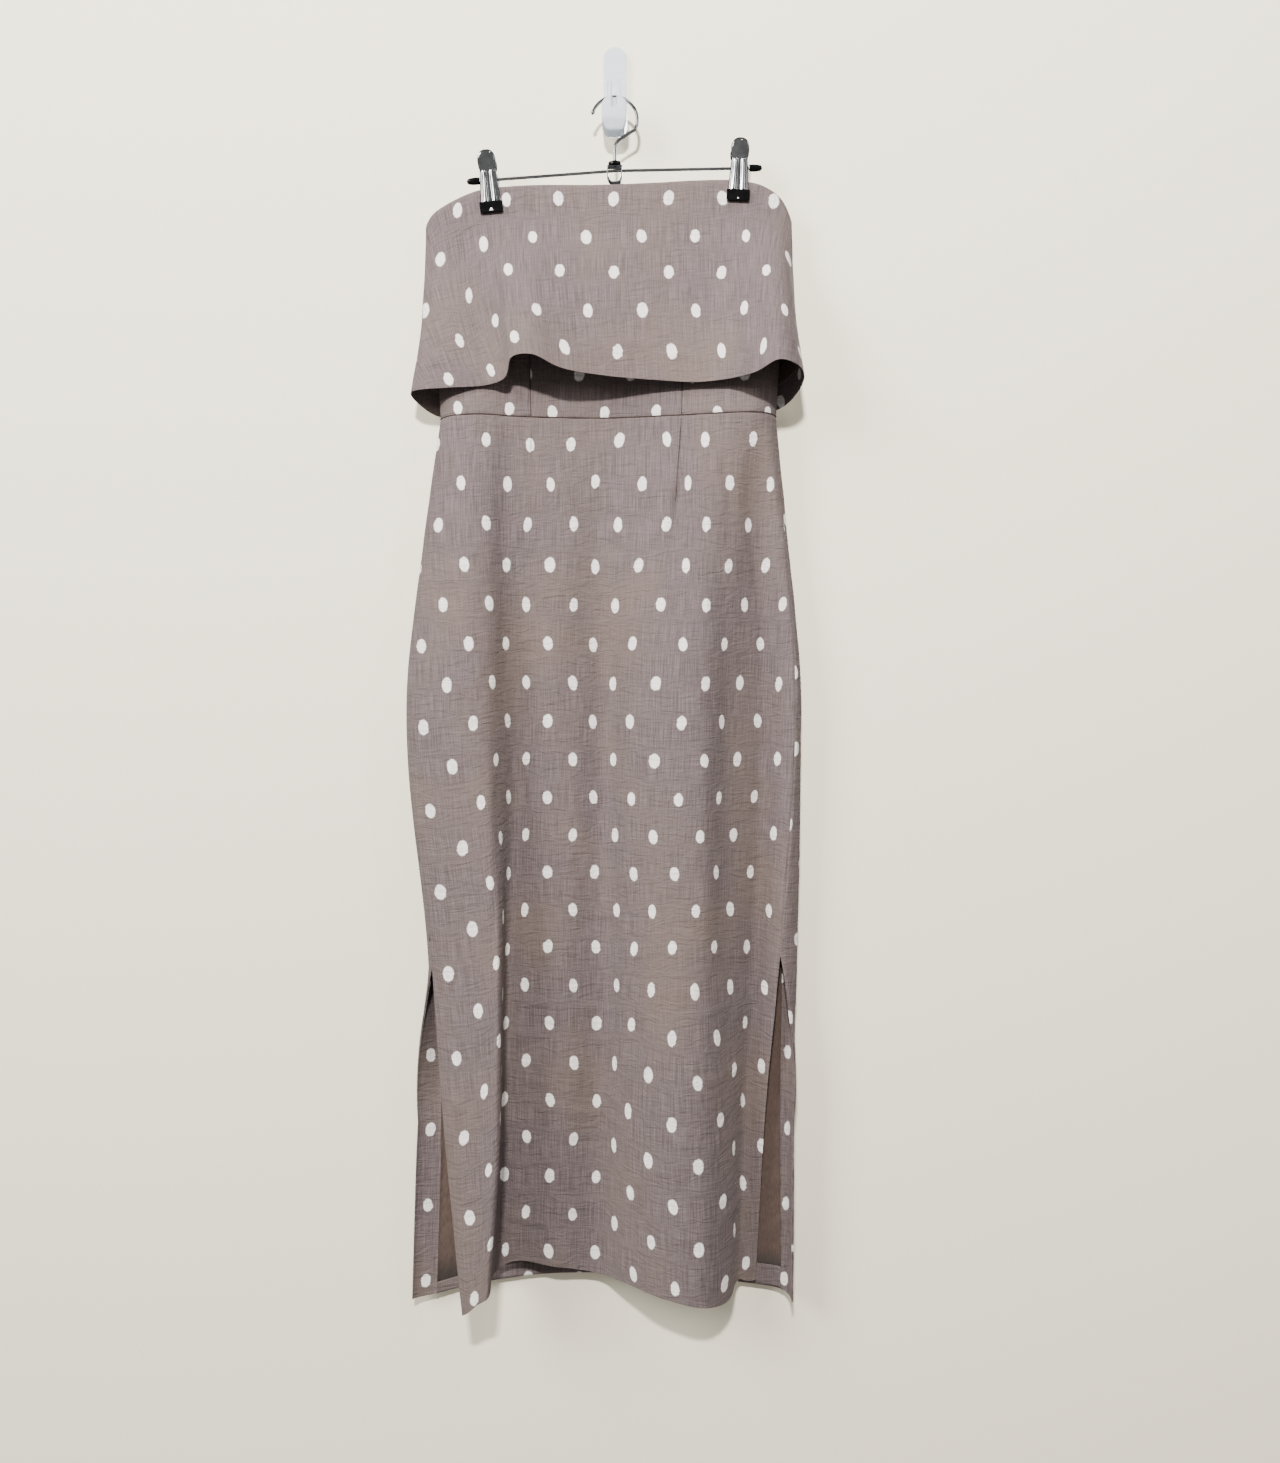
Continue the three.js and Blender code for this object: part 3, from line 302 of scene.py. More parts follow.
OVERLAY_FRONT_CREASES = [
    (-150, -154, -154, -210, 13, -2.0), (-172, -160, -176, -230, 10, 1.2), (-128, -200, -124, -262, 6, -1.2),
    (-112, -212, -106, -290, 5, 1.2), (-100, -150, -98, -215, 10, -1.2), (-70, -140, -66, -220, 12, 1.3),
    (-30, -150, -26, -250, 13, -1.2), (10, -140, 14, -240, 12, 1.0), (52, -160, 55, -260, 12, -1.1),
    (96, -188, 99, -276, 14, -2.2), (128, -150, 134, -230, 10, 1.2), (140, -230, 143, -292, 8, -1.5),
    (168, -170, 172, -240, 9, 1.1), (-198, -250, -178, -262, 5, -1.1), (-200, -280, -176, -290, 5, -1.2),
    (-196, -302, -170, -300, 5, 1.0), (-120, -298, -112, -308, 4, -1.0), (-64, -262, -34, -268, 5, 1.0),
    (-10, -285, 30, -279, 5, 1.0), (50, -290, 88, -296, 5, 1.1), (20, -215, 52, -211, 5, 0.9),
    (112, -262, 138, -270, 5, -1.0), (150, -285, 172, -280, 5, 1.0), (-145, -262, -128, -272, 5, -1.0),
]
OVERLAY_BACK_CREASES = [
    (-150, -180, -154, -270, 11, -0.6), (-100, -170, -98, -260, 12, 1.5), (-50, -180, -54, -290, 12, -0.6),
    (-120, -290, -84, -296, 5, 1.1), (-70, -240, -36, -235, 5, 1.0), (-176, -250, -156, -258, 5, -0.4),
    (30, -170, 34, -260, 12, 1.4), (84, -180, 80, -280, 12, -0.6), (132, -170, 136, -270, 11, 1.4),
    (44, -290, 84, -284, 5, 1.1), (96, -240, 128, -246, 5, 1.0), (146, -290, 166, -282, 5, -0.4),
]
LINING_PUCKERS = [
    (180, -1006, 168, -1012, 5, 1.2), (179, -1033, 166, -1041, 5, 1.6), (179, -1046, 168, -1052, 4, -1.2),
    (180, -1064, 163, -1075, 6, 1.8), (179, -1086, 166, -1092, 5, -1.4), (180, -1098, 164, -1110, 6, 1.7),
    (180, -1124, 160, -1134, 6, -1.6), (181, -1142, 162, -1156, 6, 2.0), (181, -1168, 164, -1178, 5, -1.5),
    (180, -1188, 158, -1204, 7, 2.1), (180, -1214, 166, -1222, 5, -1.3), (168, -1060, 160, -1160, 7, 1.3),
    (-176, -1060, -168, -1110, 6, 1.5), (-178, -1120, -168, -1132, 5, 1.4),
    (-178, -1150, -166, -1190, 7, -1.5),
    (-178, -1200, -164, -1214, 6, 1.5), (-100, -500, -96, -700, 14, 1.6), (60, -560, 64, -760, 14, -1.6),
    (0, -800, 6, -1050, 15, 1.6), (-80, -900, -84, -1150, 14, -1.5), (100, -900, 96, -1120, 14, 1.5),
]

# The hanger: hook wire, rod and clips. The clips' heights and depths are from the rod.
WIRE_RADIUS = 1.6
HOOK_RADIUS = 23.6
HOOK_CENTRE = -43.8
HOOK_SWEEP = (167, -26)
HOOK_STEM = [(11, -60.5), (3.5, -66), (0.5, -71.5), (0.3, -80), (0.3, -94.6)]
ROD_ACROSS = [-153, 0.5, 153]
ROD_HEIGHT = [-108.3, -96.9, -93.8]
ROD_RADIUS = 1.5
CAP_LENGTH = 14
CAP_PROFILE = [
    (0.022, 2.0), (0.024, 3.0), (0.05, 3.4), (0.15, 3.6), (0.5, 3.55), (0.75, 3.2), (0.9, 2.5), (0.97, 1.6),
    (1.0, 0.5),
]
JAW_HEIGHT = [-24, -12, 0, 6, 9, 12, 18, 23.5, 26.5, 28]
JAW_HALF = [10.8, 9.9, 9, 8.6, 8.2, 9.2, 9.5, 8.4, 6, 2.5]
JAW_OUT = [4.7, 5, 5.4, 5.6, 6.2, 7.4, 9.4, 10.2, 9.9, 9.4]
JAW_RIB = [1.4, 1.6, 1.6, 1.3, 0.2, 0, 0, 0, 0, 0]
JAW_WALL = 1.2
# The height where the thumb end begins, how far the inner face is tucked in, where the thumb's pad
# rises and falls, and where the side flanges start
JAW_FLARE = 9
TUCKED_IN = 0.985
THUMB_PAD = (8.5, 14, 24, 28.6)
FLANGE_START = 0.84
RIB_MIDDLE = 0.46
RIB_HALF = 0.3
THUMB_DOME = 1.8
FLANGE = 2.2
TIP_FACE = 6.8
SEAM_RADIUS = 0.62
SEAM_SUNK = 0.35
TIP_FOOT = -35.3
MARK_SIZE = {"left": 4.4, "right": 2.2}
MARK_THICK = 0.7
MARK_PROUD = 0.12
MARK_ABOVE_FOOT = 1.3
# Corners of the mark as shares of its size, across and up
MARK_CORNERS = [(-0.5, 0), (0.5, 0), (0.12, 0.62), (-0.12, 0.7)]
SPRING_RADIUS = 2.95
SPRING_WIRE = 0.85
SPRING_REACH = 4.6
SPRING_COILS = 5
SPRING_LEG = 9


def smooth_at(places, values, place):
    """A smooth value between table entries that never overshoots them."""
    last = len(places) - 1
    i = 0
    while i < last - 1 and place > places[i + 1]:
        i += 1

    def rise(k):
        return (values[k + 1] - values[k]) / (places[k + 1] - places[k])

    def slope(k):
        if k == 0:
            return rise(0)
        if k == last:
            return rise(last - 1)
        before, after = rise(k - 1), rise(k)
        return 0 if before * after <= 0 else 2 * before * after / (before + after)

    span = places[i + 1] - places[i]
    s = min(max((place - places[i]) / span, 0), 1)
    held = (1 + 2 * s) * (1 - s) * (1 - s) * values[i] + s * s * (3 - 2 * s) * values[i + 1]
    return held + span * s * (1 - s) * ((1 - s) * slope(i) - s * slope(i + 1))


def smoothstep(value, low, high):
    s = np.clip((value - low) / (high - low), 0, 1)
    return s * s * (3 - 2 * s)


def top_height(across, is_back):
    """The dress's top edge. The back's edge dips in the middle."""
    dip = BACK_DIP * max(0, 1 - (across / BACK_DIP_HALF) ** 2) if is_back else 0
    return smooth_at(TOP_ACROSS, TOP_HEIGHT, across) - dip


def waist_height(across):
    return WAIST_HEIGHT + WAIST_SLOPE * across
def down_skirt(values, down, is_seam):
    """A fold's value down the skirt. A side seam may bend sharply where its slit begins."""
    if not is_seam:
        return smooth_at(SKIRT_STATIONS, values, down)
    slit = SKIRT_STATIONS.index(SLIT_TOP)
    first, last = (0, slit + 1) if down <= SLIT_TOP else (slit, len(values))
    return smooth_at(SKIRT_STATIONS[first:last], values[first:last], down)


def skirt_folds(rows, down):
    points = []
    for i, row in enumerate(rows):
        is_seam = i in (0, len(rows) - 1)
        across = down_skirt(row[1][1:], down, is_seam)
        out = down_skirt(row[2][1:], down, is_seam)
        waist = waist_height(row[1][1])
        sag = (row[4] if len(row) > 4 else 0) * max(0, (down - SLIT_TOP) / (1 - SLIT_TOP))
        points.append([across, -out, waist + down * (row[3] - waist) - sag])
    return np.array(points, float)


def bodice_folds(rows, down, is_back):
    points = []
    for row in rows:
        top, waist = row[1][:2]
        out = smooth_at(BODICE_STATIONS, [row[2][0], row[2][0], row[2][1]], down)
        start = top_height(top, is_back)
        points.append([top + down * (waist - top), -out, start + down * (waist_height(waist) - start)])
    return np.array(points, float)


def overlay_folds(rows, down, is_back):
    points = []
    _, grip, half, _ = OVERLAY_STATIONS
    for row in rows:
        top, middle, hem = row[1]
        grip_across = top + (middle - top) * (grip / half)
        across = smooth_at(OVERLAY_STATIONS, [top, grip_across, middle, hem], down)
        out = smooth_at(OVERLAY_STATIONS, [row[2][0], row[2][0], row[2][1], row[2][2]], down)
        start = top_height(top, is_back)
        points.append([across, -out, start + down * (row[3] - start)])
    return np.array(points, float)


def led_on(own, other, apart):
    """A panel's folds with a guide past each end: the other panel's next fold, or its own line led on."""
    start = other[1] * (1 - apart) + (2 * own[0] - own[1]) * apart
    end = other[-2] * (1 - apart) + (2 * own[-1] - own[-2]) * apart
    return np.vstack([start, own, end])


def skirt_section(down, is_back):
    front = skirt_folds(BODY_FRONT, down)
    back = skirt_folds(BODY_BACK, down)
    opened = min(max((down - SLIT_TOP) / FLUTTER_RUN, 0), 1)
    parting = FLUTTER * 4 * opened * (1 - opened)
    back[0, 0] -= parting
    back[-1, 0] += parting
    apart = float(smoothstep(down, SLIT_TOP, SLIT_TOP + SLIT_RUN))
    return led_on(back, front, apart) if is_back else led_on(front, back, apart)


def section_of(folds_of, front_rows, back_rows):
    """A function that gives the section of a closed tube at a share of the way down."""
    def section(down, is_back):
        front = folds_of(front_rows, down, False)
        back = folds_of(back_rows, down, True)
        return led_on(back, front, 0) if is_back else led_on(front, back, 0)
    return section


bodice_section = section_of(bodice_folds, BODY_FRONT, BODY_BACK)
overlay_section = section_of(overlay_folds, OVERLAY_FRONT, OVERLAY_BACK)


def curve_at(points, at):
    """Points of a smooth curve through the given ones, at places counted in points."""
    at = np.asarray(at, float)
    low = np.clip(np.floor(at).astype(int), 0, len(points) - 2)
    weight = (at - low)[..., None]
    ends = np.vstack([2 * points[0] - points[1], points, 2 * points[-1] - points[-2]])
    p0, p1, p2, p3 = (ends[low + k] for k in range(4))

    def pace(a, b):
        return np.sqrt(np.linalg.norm(b - a, axis=-1, keepdims=True))

    d0, d1, d2 = pace(p0, p1), pace(p1, p2), pace(p2, p3)
    d1 = np.where(d1 < 1e-4, 1, d1)
    d0 = np.where(d0 < 1e-4, d1, d0)
    d2 = np.where(d2 < 1e-4, d1, d2)
    t1 = ((p1 - p0) / d0 - (p2 - p0) / (d0 + d1) + (p2 - p1) / d1) * d1
    t2 = ((p2 - p1) / d1 - (p3 - p1) / (d1 + d2) + (p3 - p2) / d2) * d1
    c2 = -3 * p1 + 3 * p2 - 2 * t1 - t2
    c3 = 2 * p1 - 2 * p2 + t1 + t2
    return p1 + t1 * weight + c2 * weight**2 + c3 * weight**3


class Grid:
    """Points of one panel: rows down, columns across, with their directions and cloth places."""

    def __init__(self, section, is_back, folds, places):
        folds = np.asarray(folds, float)
        at_hem = curve_at(section(1, is_back), 1 + folds)[:, 0]
        downs = np.array([places(x) for x in at_hem]).T
        rows, columns = downs.shape
        self.point = np.zeros((rows, columns, 3))
        self.along = np.zeros((rows, columns, 3))
        self.run = np.zeros((rows, columns))
        self.down = downs
        self.folds = folds
        self.is_back = is_back
        self.section = section
        for j in range(rows):
            if np.allclose(downs[j], downs[j, 0]):
                self.fill(j, slice(None), section(downs[j, 0], is_back), folds)
            else:
                for i in range(columns):
                    self.fill(j, slice(i, i + 1), section(downs[j, i], is_back), folds[i:i + 1])
        outward = np.stack([self.along[..., 1], -self.along[..., 0], 0 * self.along[..., 0]], -1)
        self.outward = outward * (-1 if is_back else 1)

    def fill(self, j, columns, section, folds):
        at = 1 + folds
        last = len(section) - 1
        self.point[j, columns] = curve_at(section, at)
        along = curve_at(section, np.minimum(at + 1e-3, last)) - curve_at(section, np.maximum(at - 1e-3, 0))
        along[:, 2] = 0
        self.along[j, columns] = along / np.linalg.norm(along, axis=1, keepdims=True)
        self.run[j, columns] = runs_along(section, folds)

    def fold_runs(self, down):
        """How far along the section each whole fold lies."""
        section = self.section(down, self.is_back)
        return runs_along(section, np.arange(len(section) - 2))


def runs_along(section, folds):
    """How far round a section the given folds lie, in mm."""
    count = len(section) - 3
    fine = np.linspace(0, count, 40 * count + 1)
    steps = np.linalg.norm(np.diff(curve_at(section, 1 + fine)[:, :2], axis=0), axis=1)
    return np.interp(folds, fine, np.concatenate([[0], np.cumsum(steps)]))


def mesh_piece(name, points, faces, material, uv=None):
    """A smooth mesh from points in millimetres. uv holds each point's place in the cloth, in metres."""
    mesh = bpy.data.meshes.new(name)
    mesh.from_pydata((np.asarray(points, float) * MM).tolist(), [], [list(map(int, f)) for f in faces])
    if uv is not None:
        layer = mesh.uv_layers.new(name="cloth")
        corners = np.empty(len(mesh.loops), np.int32)
        mesh.loops.foreach_get("vertex_index", corners)
        layer.data.foreach_set("uv", np.asarray(uv, float)[corners].ravel())
    mesh.polygons.foreach_set("use_smooth", [True] * len(mesh.polygons))
    mesh.materials.append(material)
    mesh.update()
    piece = bpy.data.objects.new(name, mesh)
    bpy.context.scene.collection.objects.link(piece)
    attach(piece, "root")
    return piece


def stands_for(piece, node):
    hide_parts(node)
    return piece


def wall_faces(rows, columns, turned):
    """Faces of a closed wall between two grids. The first grid faces out."""
    outer, inner = np.arange(2 * rows * columns).reshape(2, rows, columns)
    rings = (
        (outer[:-1, :-1], outer[1:, :-1], outer[1:, 1:], outer[:-1, 1:]),
        (inner[:-1, :-1], inner[:-1, 1:], inner[1:, 1:], inner[1:, :-1]),
        (outer[:-1, 0], inner[:-1, 0], inner[1:, 0], outer[1:, 0]),
        (outer[:-1, -1], outer[1:, -1], inner[1:, -1], inner[:-1, -1]),
        (outer[0, :-1], outer[0, 1:], inner[0, 1:], inner[0, :-1]),
        (outer[-1, :-1], inner[-1, :-1], inner[-1, 1:], outer[-1, 1:]),
    )
    faces = np.vstack([np.stack([corner.ravel() for corner in ring], 1) for ring in rings])
    return faces[:, ::-1] if turned else faces


def reach(points, axis):
    """How far each point of a grid lies from its first row or column, along the cloth."""
    steps = np.linalg.norm(np.diff(points, axis=axis), axis=2)
    return np.cumsum(np.insert(steps, 0, 0, axis=axis), axis)

def cloth_wall(node, grid, material, uv, relief=0, depth=0, wall=0.9, rolled=("top", "left", "right")):
    """A thin shell of cloth. relief moves it in or out, and the rolled edges turn in to a seam."""
    inset = depth * LAYER - relief + np.zeros(grid.down.shape)
    down_mm, across_mm = reach(grid.point, 0), reach(grid.point, 1)
    edges = {
        "top": down_mm, "foot": down_mm[-1:] - down_mm,
        "left": across_mm, "right": across_mm[:, -1:] - across_mm,
    }
    for edge in rolled:
        inset += ROLL_FALL * np.exp(-((edges[edge] / ROLL_WIDTH) ** 2))
    layers = [grid.point - grid.outward * (inset + deep)[..., None] for deep in (0, wall)]
    points = np.concatenate([layer.reshape(-1, 3) for layer in layers])
    faces = wall_faces(*grid.down.shape, grid.is_back)
    piece = mesh_piece(f"cloth_{node}", points, faces, material, np.concatenate([uv.reshape(-1, 2)] * 2))
    return stands_for(piece, node)


def spread(start, end, count, ends=("start", "end")):
    """Even places, with a few more packed close to the named ends."""
    places = list(np.linspace(start, end, count + 1))
    step = (end - start) / count
    extra = (0.12, 0.3, 0.6)
    if "start" in ends:
        places += [start + share * step for share in extra]
    if "end" in ends:
        places += [end - share * step for share in extra]
    return np.array(sorted(places))


class Nodes:
    """Short calls for building a material's node tree."""

    def __init__(self, name):
        self.material = bpy.data.materials.new(name)
        self.material.use_nodes = True
        self.tree = self.material.node_tree
        self.shader = self.tree.nodes["Principled BSDF"]
        self.out = self.tree.nodes["Material Output"]

    def link(self, source, target):
        self.tree.links.new(source, target)

    def feed(self, socket, value):
        if isinstance(value, bpy.types.NodeSocket):
            self.link(value, socket)
        else:
            socket.default_value = value

    def node(self, kind, *values, **settings):
        """A node with its settings, and its first inputs fed."""
        made = self.tree.nodes.new(kind)
        for key, value in settings.items():
            setattr(made, key, value)
        for socket, value in zip(made.inputs, values):
            self.feed(socket, value)
        return made

    def math(self, operation, *values):
        return self.node("ShaderNodeMath", *values, operation=operation).outputs[0]

    def times(self, a, b):
        return self.math("MULTIPLY", a, b)

    def plus(self, a, b):
        return self.math("ADD", a, b)

    def minus(self, a, b):
        return self.math("SUBTRACT", a, b)

    def over(self, a, b):
        return self.math("DIVIDE", a, b)

    def power(self, a, b):
        return self.math("POWER", self.math("ABSOLUTE", a), b)

    def noise(self, vector, scale, detail=2.0, rough=0.5, warp=0.0):
        made = self.node("ShaderNodeTexNoise")
        self.feed(made.inputs["Vector"], vector)
        self.feed(made.inputs["Scale"], scale)
        self.feed(made.inputs["Detail"], detail)
        self.feed(made.inputs["Roughness"], rough)
        self.feed(made.inputs["Distortion"], warp)
        return made.outputs["Fac"]

    def stretched(self, place, scales, layer=0.0, detail=3.0, rough=0.5, warp=0.0):
        """Noise with one scale across the cloth and another down it."""
        across, down = (self.times(value, scale) for value, scale in zip(place, scales))
        return self.noise(self.vector(across, down, layer), 1.0, detail, rough, warp)

    def grain(self, scale, detail=2.0, rough=0.5):
        """Noise in the piece's own space."""
        made = self.node("ShaderNodeTexCoord")
        mapped = self.node("ShaderNodeVectorMath", operation="SCALE")
        self.link(made.outputs["Object"], mapped.inputs[0])
        mapped.inputs["Scale"].default_value = scale
        return self.noise(mapped.outputs[0], 1.0, detail, rough)
    def vector(self, x, y, z=0.0):
        return self.node("ShaderNodeCombineXYZ", x, y, z).outputs[0]

    def step(self, value, low, high, start=0.0, end=1.0):
        made = self.node("ShaderNodeMapRange", value, low, high, start, end, interpolation_type="SMOOTHSTEP")
        return made.outputs[0]

    def mix(self, share, a, b):
        made = self.node("ShaderNodeMix", data_type="RGBA")
        self.feed(made.inputs[0], share)
        self.feed(made.inputs[6], a)
        self.feed(made.inputs[7], b)
        return made.outputs[2]

    def bump(self, height, distance, strength=1.0, normal=None):
        made = self.node("ShaderNodeBump")
        self.feed(made.inputs["Strength"], strength)
        self.feed(made.inputs["Distance"], distance)
        self.feed(made.inputs["Height"], height)
        if normal is not None:
            self.link(normal, made.inputs["Normal"])
        return made.outputs[0]

    def cloth_place(self):
        made = self.node("ShaderNodeUVMap", uv_map="cloth")
        parts = self.node("ShaderNodeSeparateXYZ")
        self.link(made.outputs[0], parts.inputs[0])
        return parts.outputs[0], parts.outputs[1]

    def set(self, **values):
        for key, value in values.items():
            self.feed(self.shader.inputs[key.replace("_", " ")], value)


def linear(red, green, blue):
    """A colour from its 0 to 255 values."""
    def one(v):
        v /= 255
        return v / 12.92 if v <= 0.04045 else ((v + 0.055) / 1.055) ** 2.4
    return (one(red), one(green), one(blue), 1.0)


def spotted_cloth(name, pitch, row_step, first, odd_start):
    """Crinkled taupe cloth with a diamond lattice of upright off-white ovals."""
    n = Nodes(name)
    u, v = n.cloth_place()
    # The outline of each spot wavers a little with the crinkle
    waver = n.times(n.minus(n.noise(n.vector(u, v), WAVER_SCALE), 0.5), WAVER_REACH)
    row = n.over(n.minus(n.plus(v, waver), first * MM), row_step * MM)
    whole_row = n.math("ROUND", row)
    half = n.times(n.math("PINGPONG", n.plus(whole_row, odd_start), 1.0), 0.5)
    column = n.minus(n.over(n.plus(u, waver), pitch * MM), half)
    whole_column = n.math("ROUND", column)
    across = n.times(n.minus(column, whole_column), pitch)
    down = n.times(n.minus(row, whole_row), row_step)
    # Each spot has a slightly different lean and size
    own = n.node("ShaderNodeTexWhiteNoise", noise_dimensions="2D")
    n.link(n.vector(whole_column, whole_row), own.inputs["Vector"])
    parts = n.node("ShaderNodeSeparateColor")
    n.link(own.outputs["Color"], parts.inputs[0])
    across = n.plus(across, n.times(down, n.times(n.minus(parts.outputs[0], 0.5), SPOT_LEAN)))
    size = n.plus(n.times(parts.outputs[1], SPOT_UNEVEN), 1 - SPOT_UNEVEN / 2)
    x2 = n.power(n.over(across, SPOT_HALF_WIDTH), 2.0)
    y2 = n.power(n.over(down, SPOT_HALF_HEIGHT), 2.2)
    radius = n.over(n.math("SQRT", n.plus(x2, y2)), size)
    spot = n.step(radius, *SPOT_EDGE, 1.0, 0.0)

    # Fine upright ribs, close threads across and short wrinkles across
    place = (u, v)
    ribs = n.stretched(place, (1150.0, 30.0), 0.0, 3.0, 0.6, 0.15)
    slubs = n.stretched(place, (60.0, 520.0), 7.0, 3.0, 0.62, 0.3)
    wrinkles = n.stretched(place, (45.0, 170.0), 3.0, 3.0, 0.55, 0.9)
    patches = n.stretched(place, (9.0, 7.0), 1.0)
    rib_tone = n.step(ribs, 0.34, 0.66)
    slub_tone = n.times(n.step(slubs, 0.36, 0.68), SLUB_SHARE)
    patch_tone = n.times(n.step(patches, 0.4, 0.68), PATCH_SHARE)
    base = n.mix(rib_tone, linear(*RIB_DARK), linear(*RIB_LIGHT))
    base = n.mix(slub_tone, base, linear(*SLUB))
    base = n.mix(patch_tone, base, linear(*WARM_PATCH))
    white = n.mix(n.times(rib_tone, 0.8), linear(*SPOT_DARK), linear(*SPOT_LIGHT))
    n.set(Base_Color=n.mix(spot, base, white), Roughness=0.88)
    n.set(Sheen_Weight=0.12, Sheen_Roughness=0.5, Sheen_Tint=linear(225, 214, 208), Specular_IOR_Level=0.22)
    threads = n.plus(n.times(ribs, 0.5), n.times(slubs, 0.3))
    n.set(Normal=n.bump(wrinkles, WRINKLE_DEPTH, 0.85, n.bump(threads, THREAD_DEPTH, 0.75)))
    return n.material


def satin_lining():
    """Plain brown lining with a soft shine and faint creases."""
    n = Nodes("lining")
    place = n.cloth_place()
    threads = n.stretched(place, (900.0, 160.0), 0.0, 2.0)
    waves = n.stretched(place, (30.0, 14.0), 2.0, 3.0, 0.55, 0.6)
    n.set(Base_Color=n.mix(n.step(threads, 0.3, 0.7), linear(*LINING_DARK), linear(*LINING_LIGHT)))
    n.set(Roughness=0.42, Sheen_Weight=0.15, Specular_IOR_Level=0.5, Anisotropic=0.4)
    n.set(Normal=n.bump(waves, 0.006, 0.7, n.bump(threads, 0.0002, 0.4)))
    return n.material


def bright_chrome():
    """Plated steel with faint smudges and hair scratches."""
    n = Nodes("chrome")
    smudge = n.grain(60.0, 4.0, 0.6)
    n.set(Base_Color=n.mix(n.step(smudge, 0.3, 0.75), linear(146, 148, 152), linear(180, 182, 186)))
    n.set(Metallic=1.0, Roughness=n.plus(0.05, n.times(smudge, 0.08)), Specular_Tint=linear(96, 96, 99))
    n.set(Normal=n.bump(n.grain(900.0), 0.00005, 0.3))
    return n.material


def black_vinyl():
    """Soft black vinyl, a little worn."""
    n = Nodes("vinyl")
    wear = n.grain(90.0, 3.0)
    n.set(Base_Color=n.mix(n.step(wear, 0.4, 0.8), linear(5, 5, 6), linear(13, 13, 14)))
    n.set(Roughness=n.plus(0.2, n.times(wear, 0.15)), Specular_IOR_Level=0.2)
    n.set(Normal=n.bump(n.grain(1400.0), 0.0001, 0.5))
    return n.material


def cloudy_plastic():
    """Milky clear plastic of the wall hook."""
    n = Nodes("hook_plastic")
    cloud = n.grain(45.0, 3.0)
    n.set(Base_Color=n.mix(cloud, linear(208, 217, 229), linear(230, 237, 246)))
    n.set(Roughness=n.plus(0.2, n.times(cloud, 0.12)), Normal=n.bump(cloud, 0.0006, 0.15))
    n.set(Transmission_Weight=0.1, IOR=1.45, Subsurface_Weight=0.2, Subsurface_Scale=0.003, Alpha=0.74)
    return n.material


def plain_grain(name, scale, dark, light, roughness, depth, strength):
    """A matt shade with a fine even grain."""
    n = Nodes(name)
    grain = n.grain(scale)
    n.set(Base_Color=n.mix(grain, linear(*dark), linear(*light)), Roughness=roughness)
    n.set(Normal=n.bump(grain, depth, strength))
    return n


SKIRT_CLOTH = spotted_cloth("skirt_cloth", SPOT_PITCH, SPOT_ROW, SPOT_FIRST, 1.0)
OVERLAY_CLOTH = spotted_cloth("overlay_cloth", OVERLAY_PITCH, OVERLAY_SPOT_ROW, OVERLAY_SPOT_FIRST, 0.0)
LINING = satin_lining()
CHROME = bright_chrome()
VINYL = black_vinyl()
PLASTIC = cloudy_plastic()
MARK = plain_grain("pale_mark", 1200.0, (226, 226, 224), (247, 247, 245), 0.35, 0.0001, 0.4).material
# Dark seam cords: a painted shadow material for the grooves along the seams.
seam_shadow_nodes = plain_grain("seam_painted_shadow", 1500.0, SEAM_SHADOW_TONE, (78, 67, 63), 0.9, 0.0002, 0.6)
seam_shadow_nodes.set(Specular_IOR_Level=0.1)
SEAM_PAINTED_SHADOW = seam_shadow_nodes.material


# The cloth's own places, in metres along and down the cut
def spot_columns(grid, table, stations, pitch):
    """Along the cloth, from the fold's place in columns of spots."""
    along = np.zeros(grid.down.shape)
    for j, down in enumerate(grid.down[:, 0]):
        marks = [smooth_at(stations, values, down) for values in zip(*table)]
        runs = grid.fold_runs(down)
        along[j] = [smooth_at(list(runs), marks, run) for run in grid.run[j]]
    return along * pitch * MM


def cloth_uv(along, down_mm):
    return np.stack([along, down_mm * MM], -1)

def below(grid, start):
    """How far down each point lies below a height that start gives for each place across."""
    across = grid.point[..., 0]
    return np.array([start(x) for x in across.ravel()]).reshape(across.shape) - grid.point[..., 2]


def pressed(grid, table):
    """Soft troughs and ridges of a crease table, in mm in or out."""
    across, height = grid.point[..., 0], grid.point[..., 2]
    total = np.zeros(across.shape)
    for x0, z0, x1, z1, width, rise in table:
        run = np.array([x1 - x0, z1 - z0], float)
        share = ((across - x0) * run[0] + (height - z0) * run[1]) / float(run @ run)
        near = np.clip(share, 0, 1)
        off = np.hypot(across - x0 - near * run[0], height - z0 - near * run[1])
        taper = np.sin(math.pi * np.clip(share, CREASE_TIP, 1 - CREASE_TIP)) ** CREASE_FULLNESS
        total += rise * taper * np.exp(-((off / width) ** 2))
    return total


def hung_lower(grid, places, table):
    """How far each spot hangs below its level."""
    total = np.zeros(grid.down.shape)
    for j, down in enumerate(grid.down[:, 0]):
        marks = [np.interp(down, places, row) for _, row in table]
        total[j] = np.interp(grid.folds, [fold for fold, _ in table], marks)
    return total


def ripple(uv, size, seed):
    """Slight unevenness of hand: a few unrelated waves, 26 to 102 mm long."""
    u, v = uv[..., 0] / MM, uv[..., 1] / MM
    total = np.zeros(u.shape)
    for k in range(5):
        angle = 0.7 * math.sin(seed * 1.7 + k * 2.3)
        wave = 26 + 19 * k
        total += math.cos(k + seed) * np.sin(
            (u * math.cos(angle) * 1.5 + v * math.sin(angle)) / wave * 2 * math.pi + seed * (k + 1)
        )
    return size * total / 3


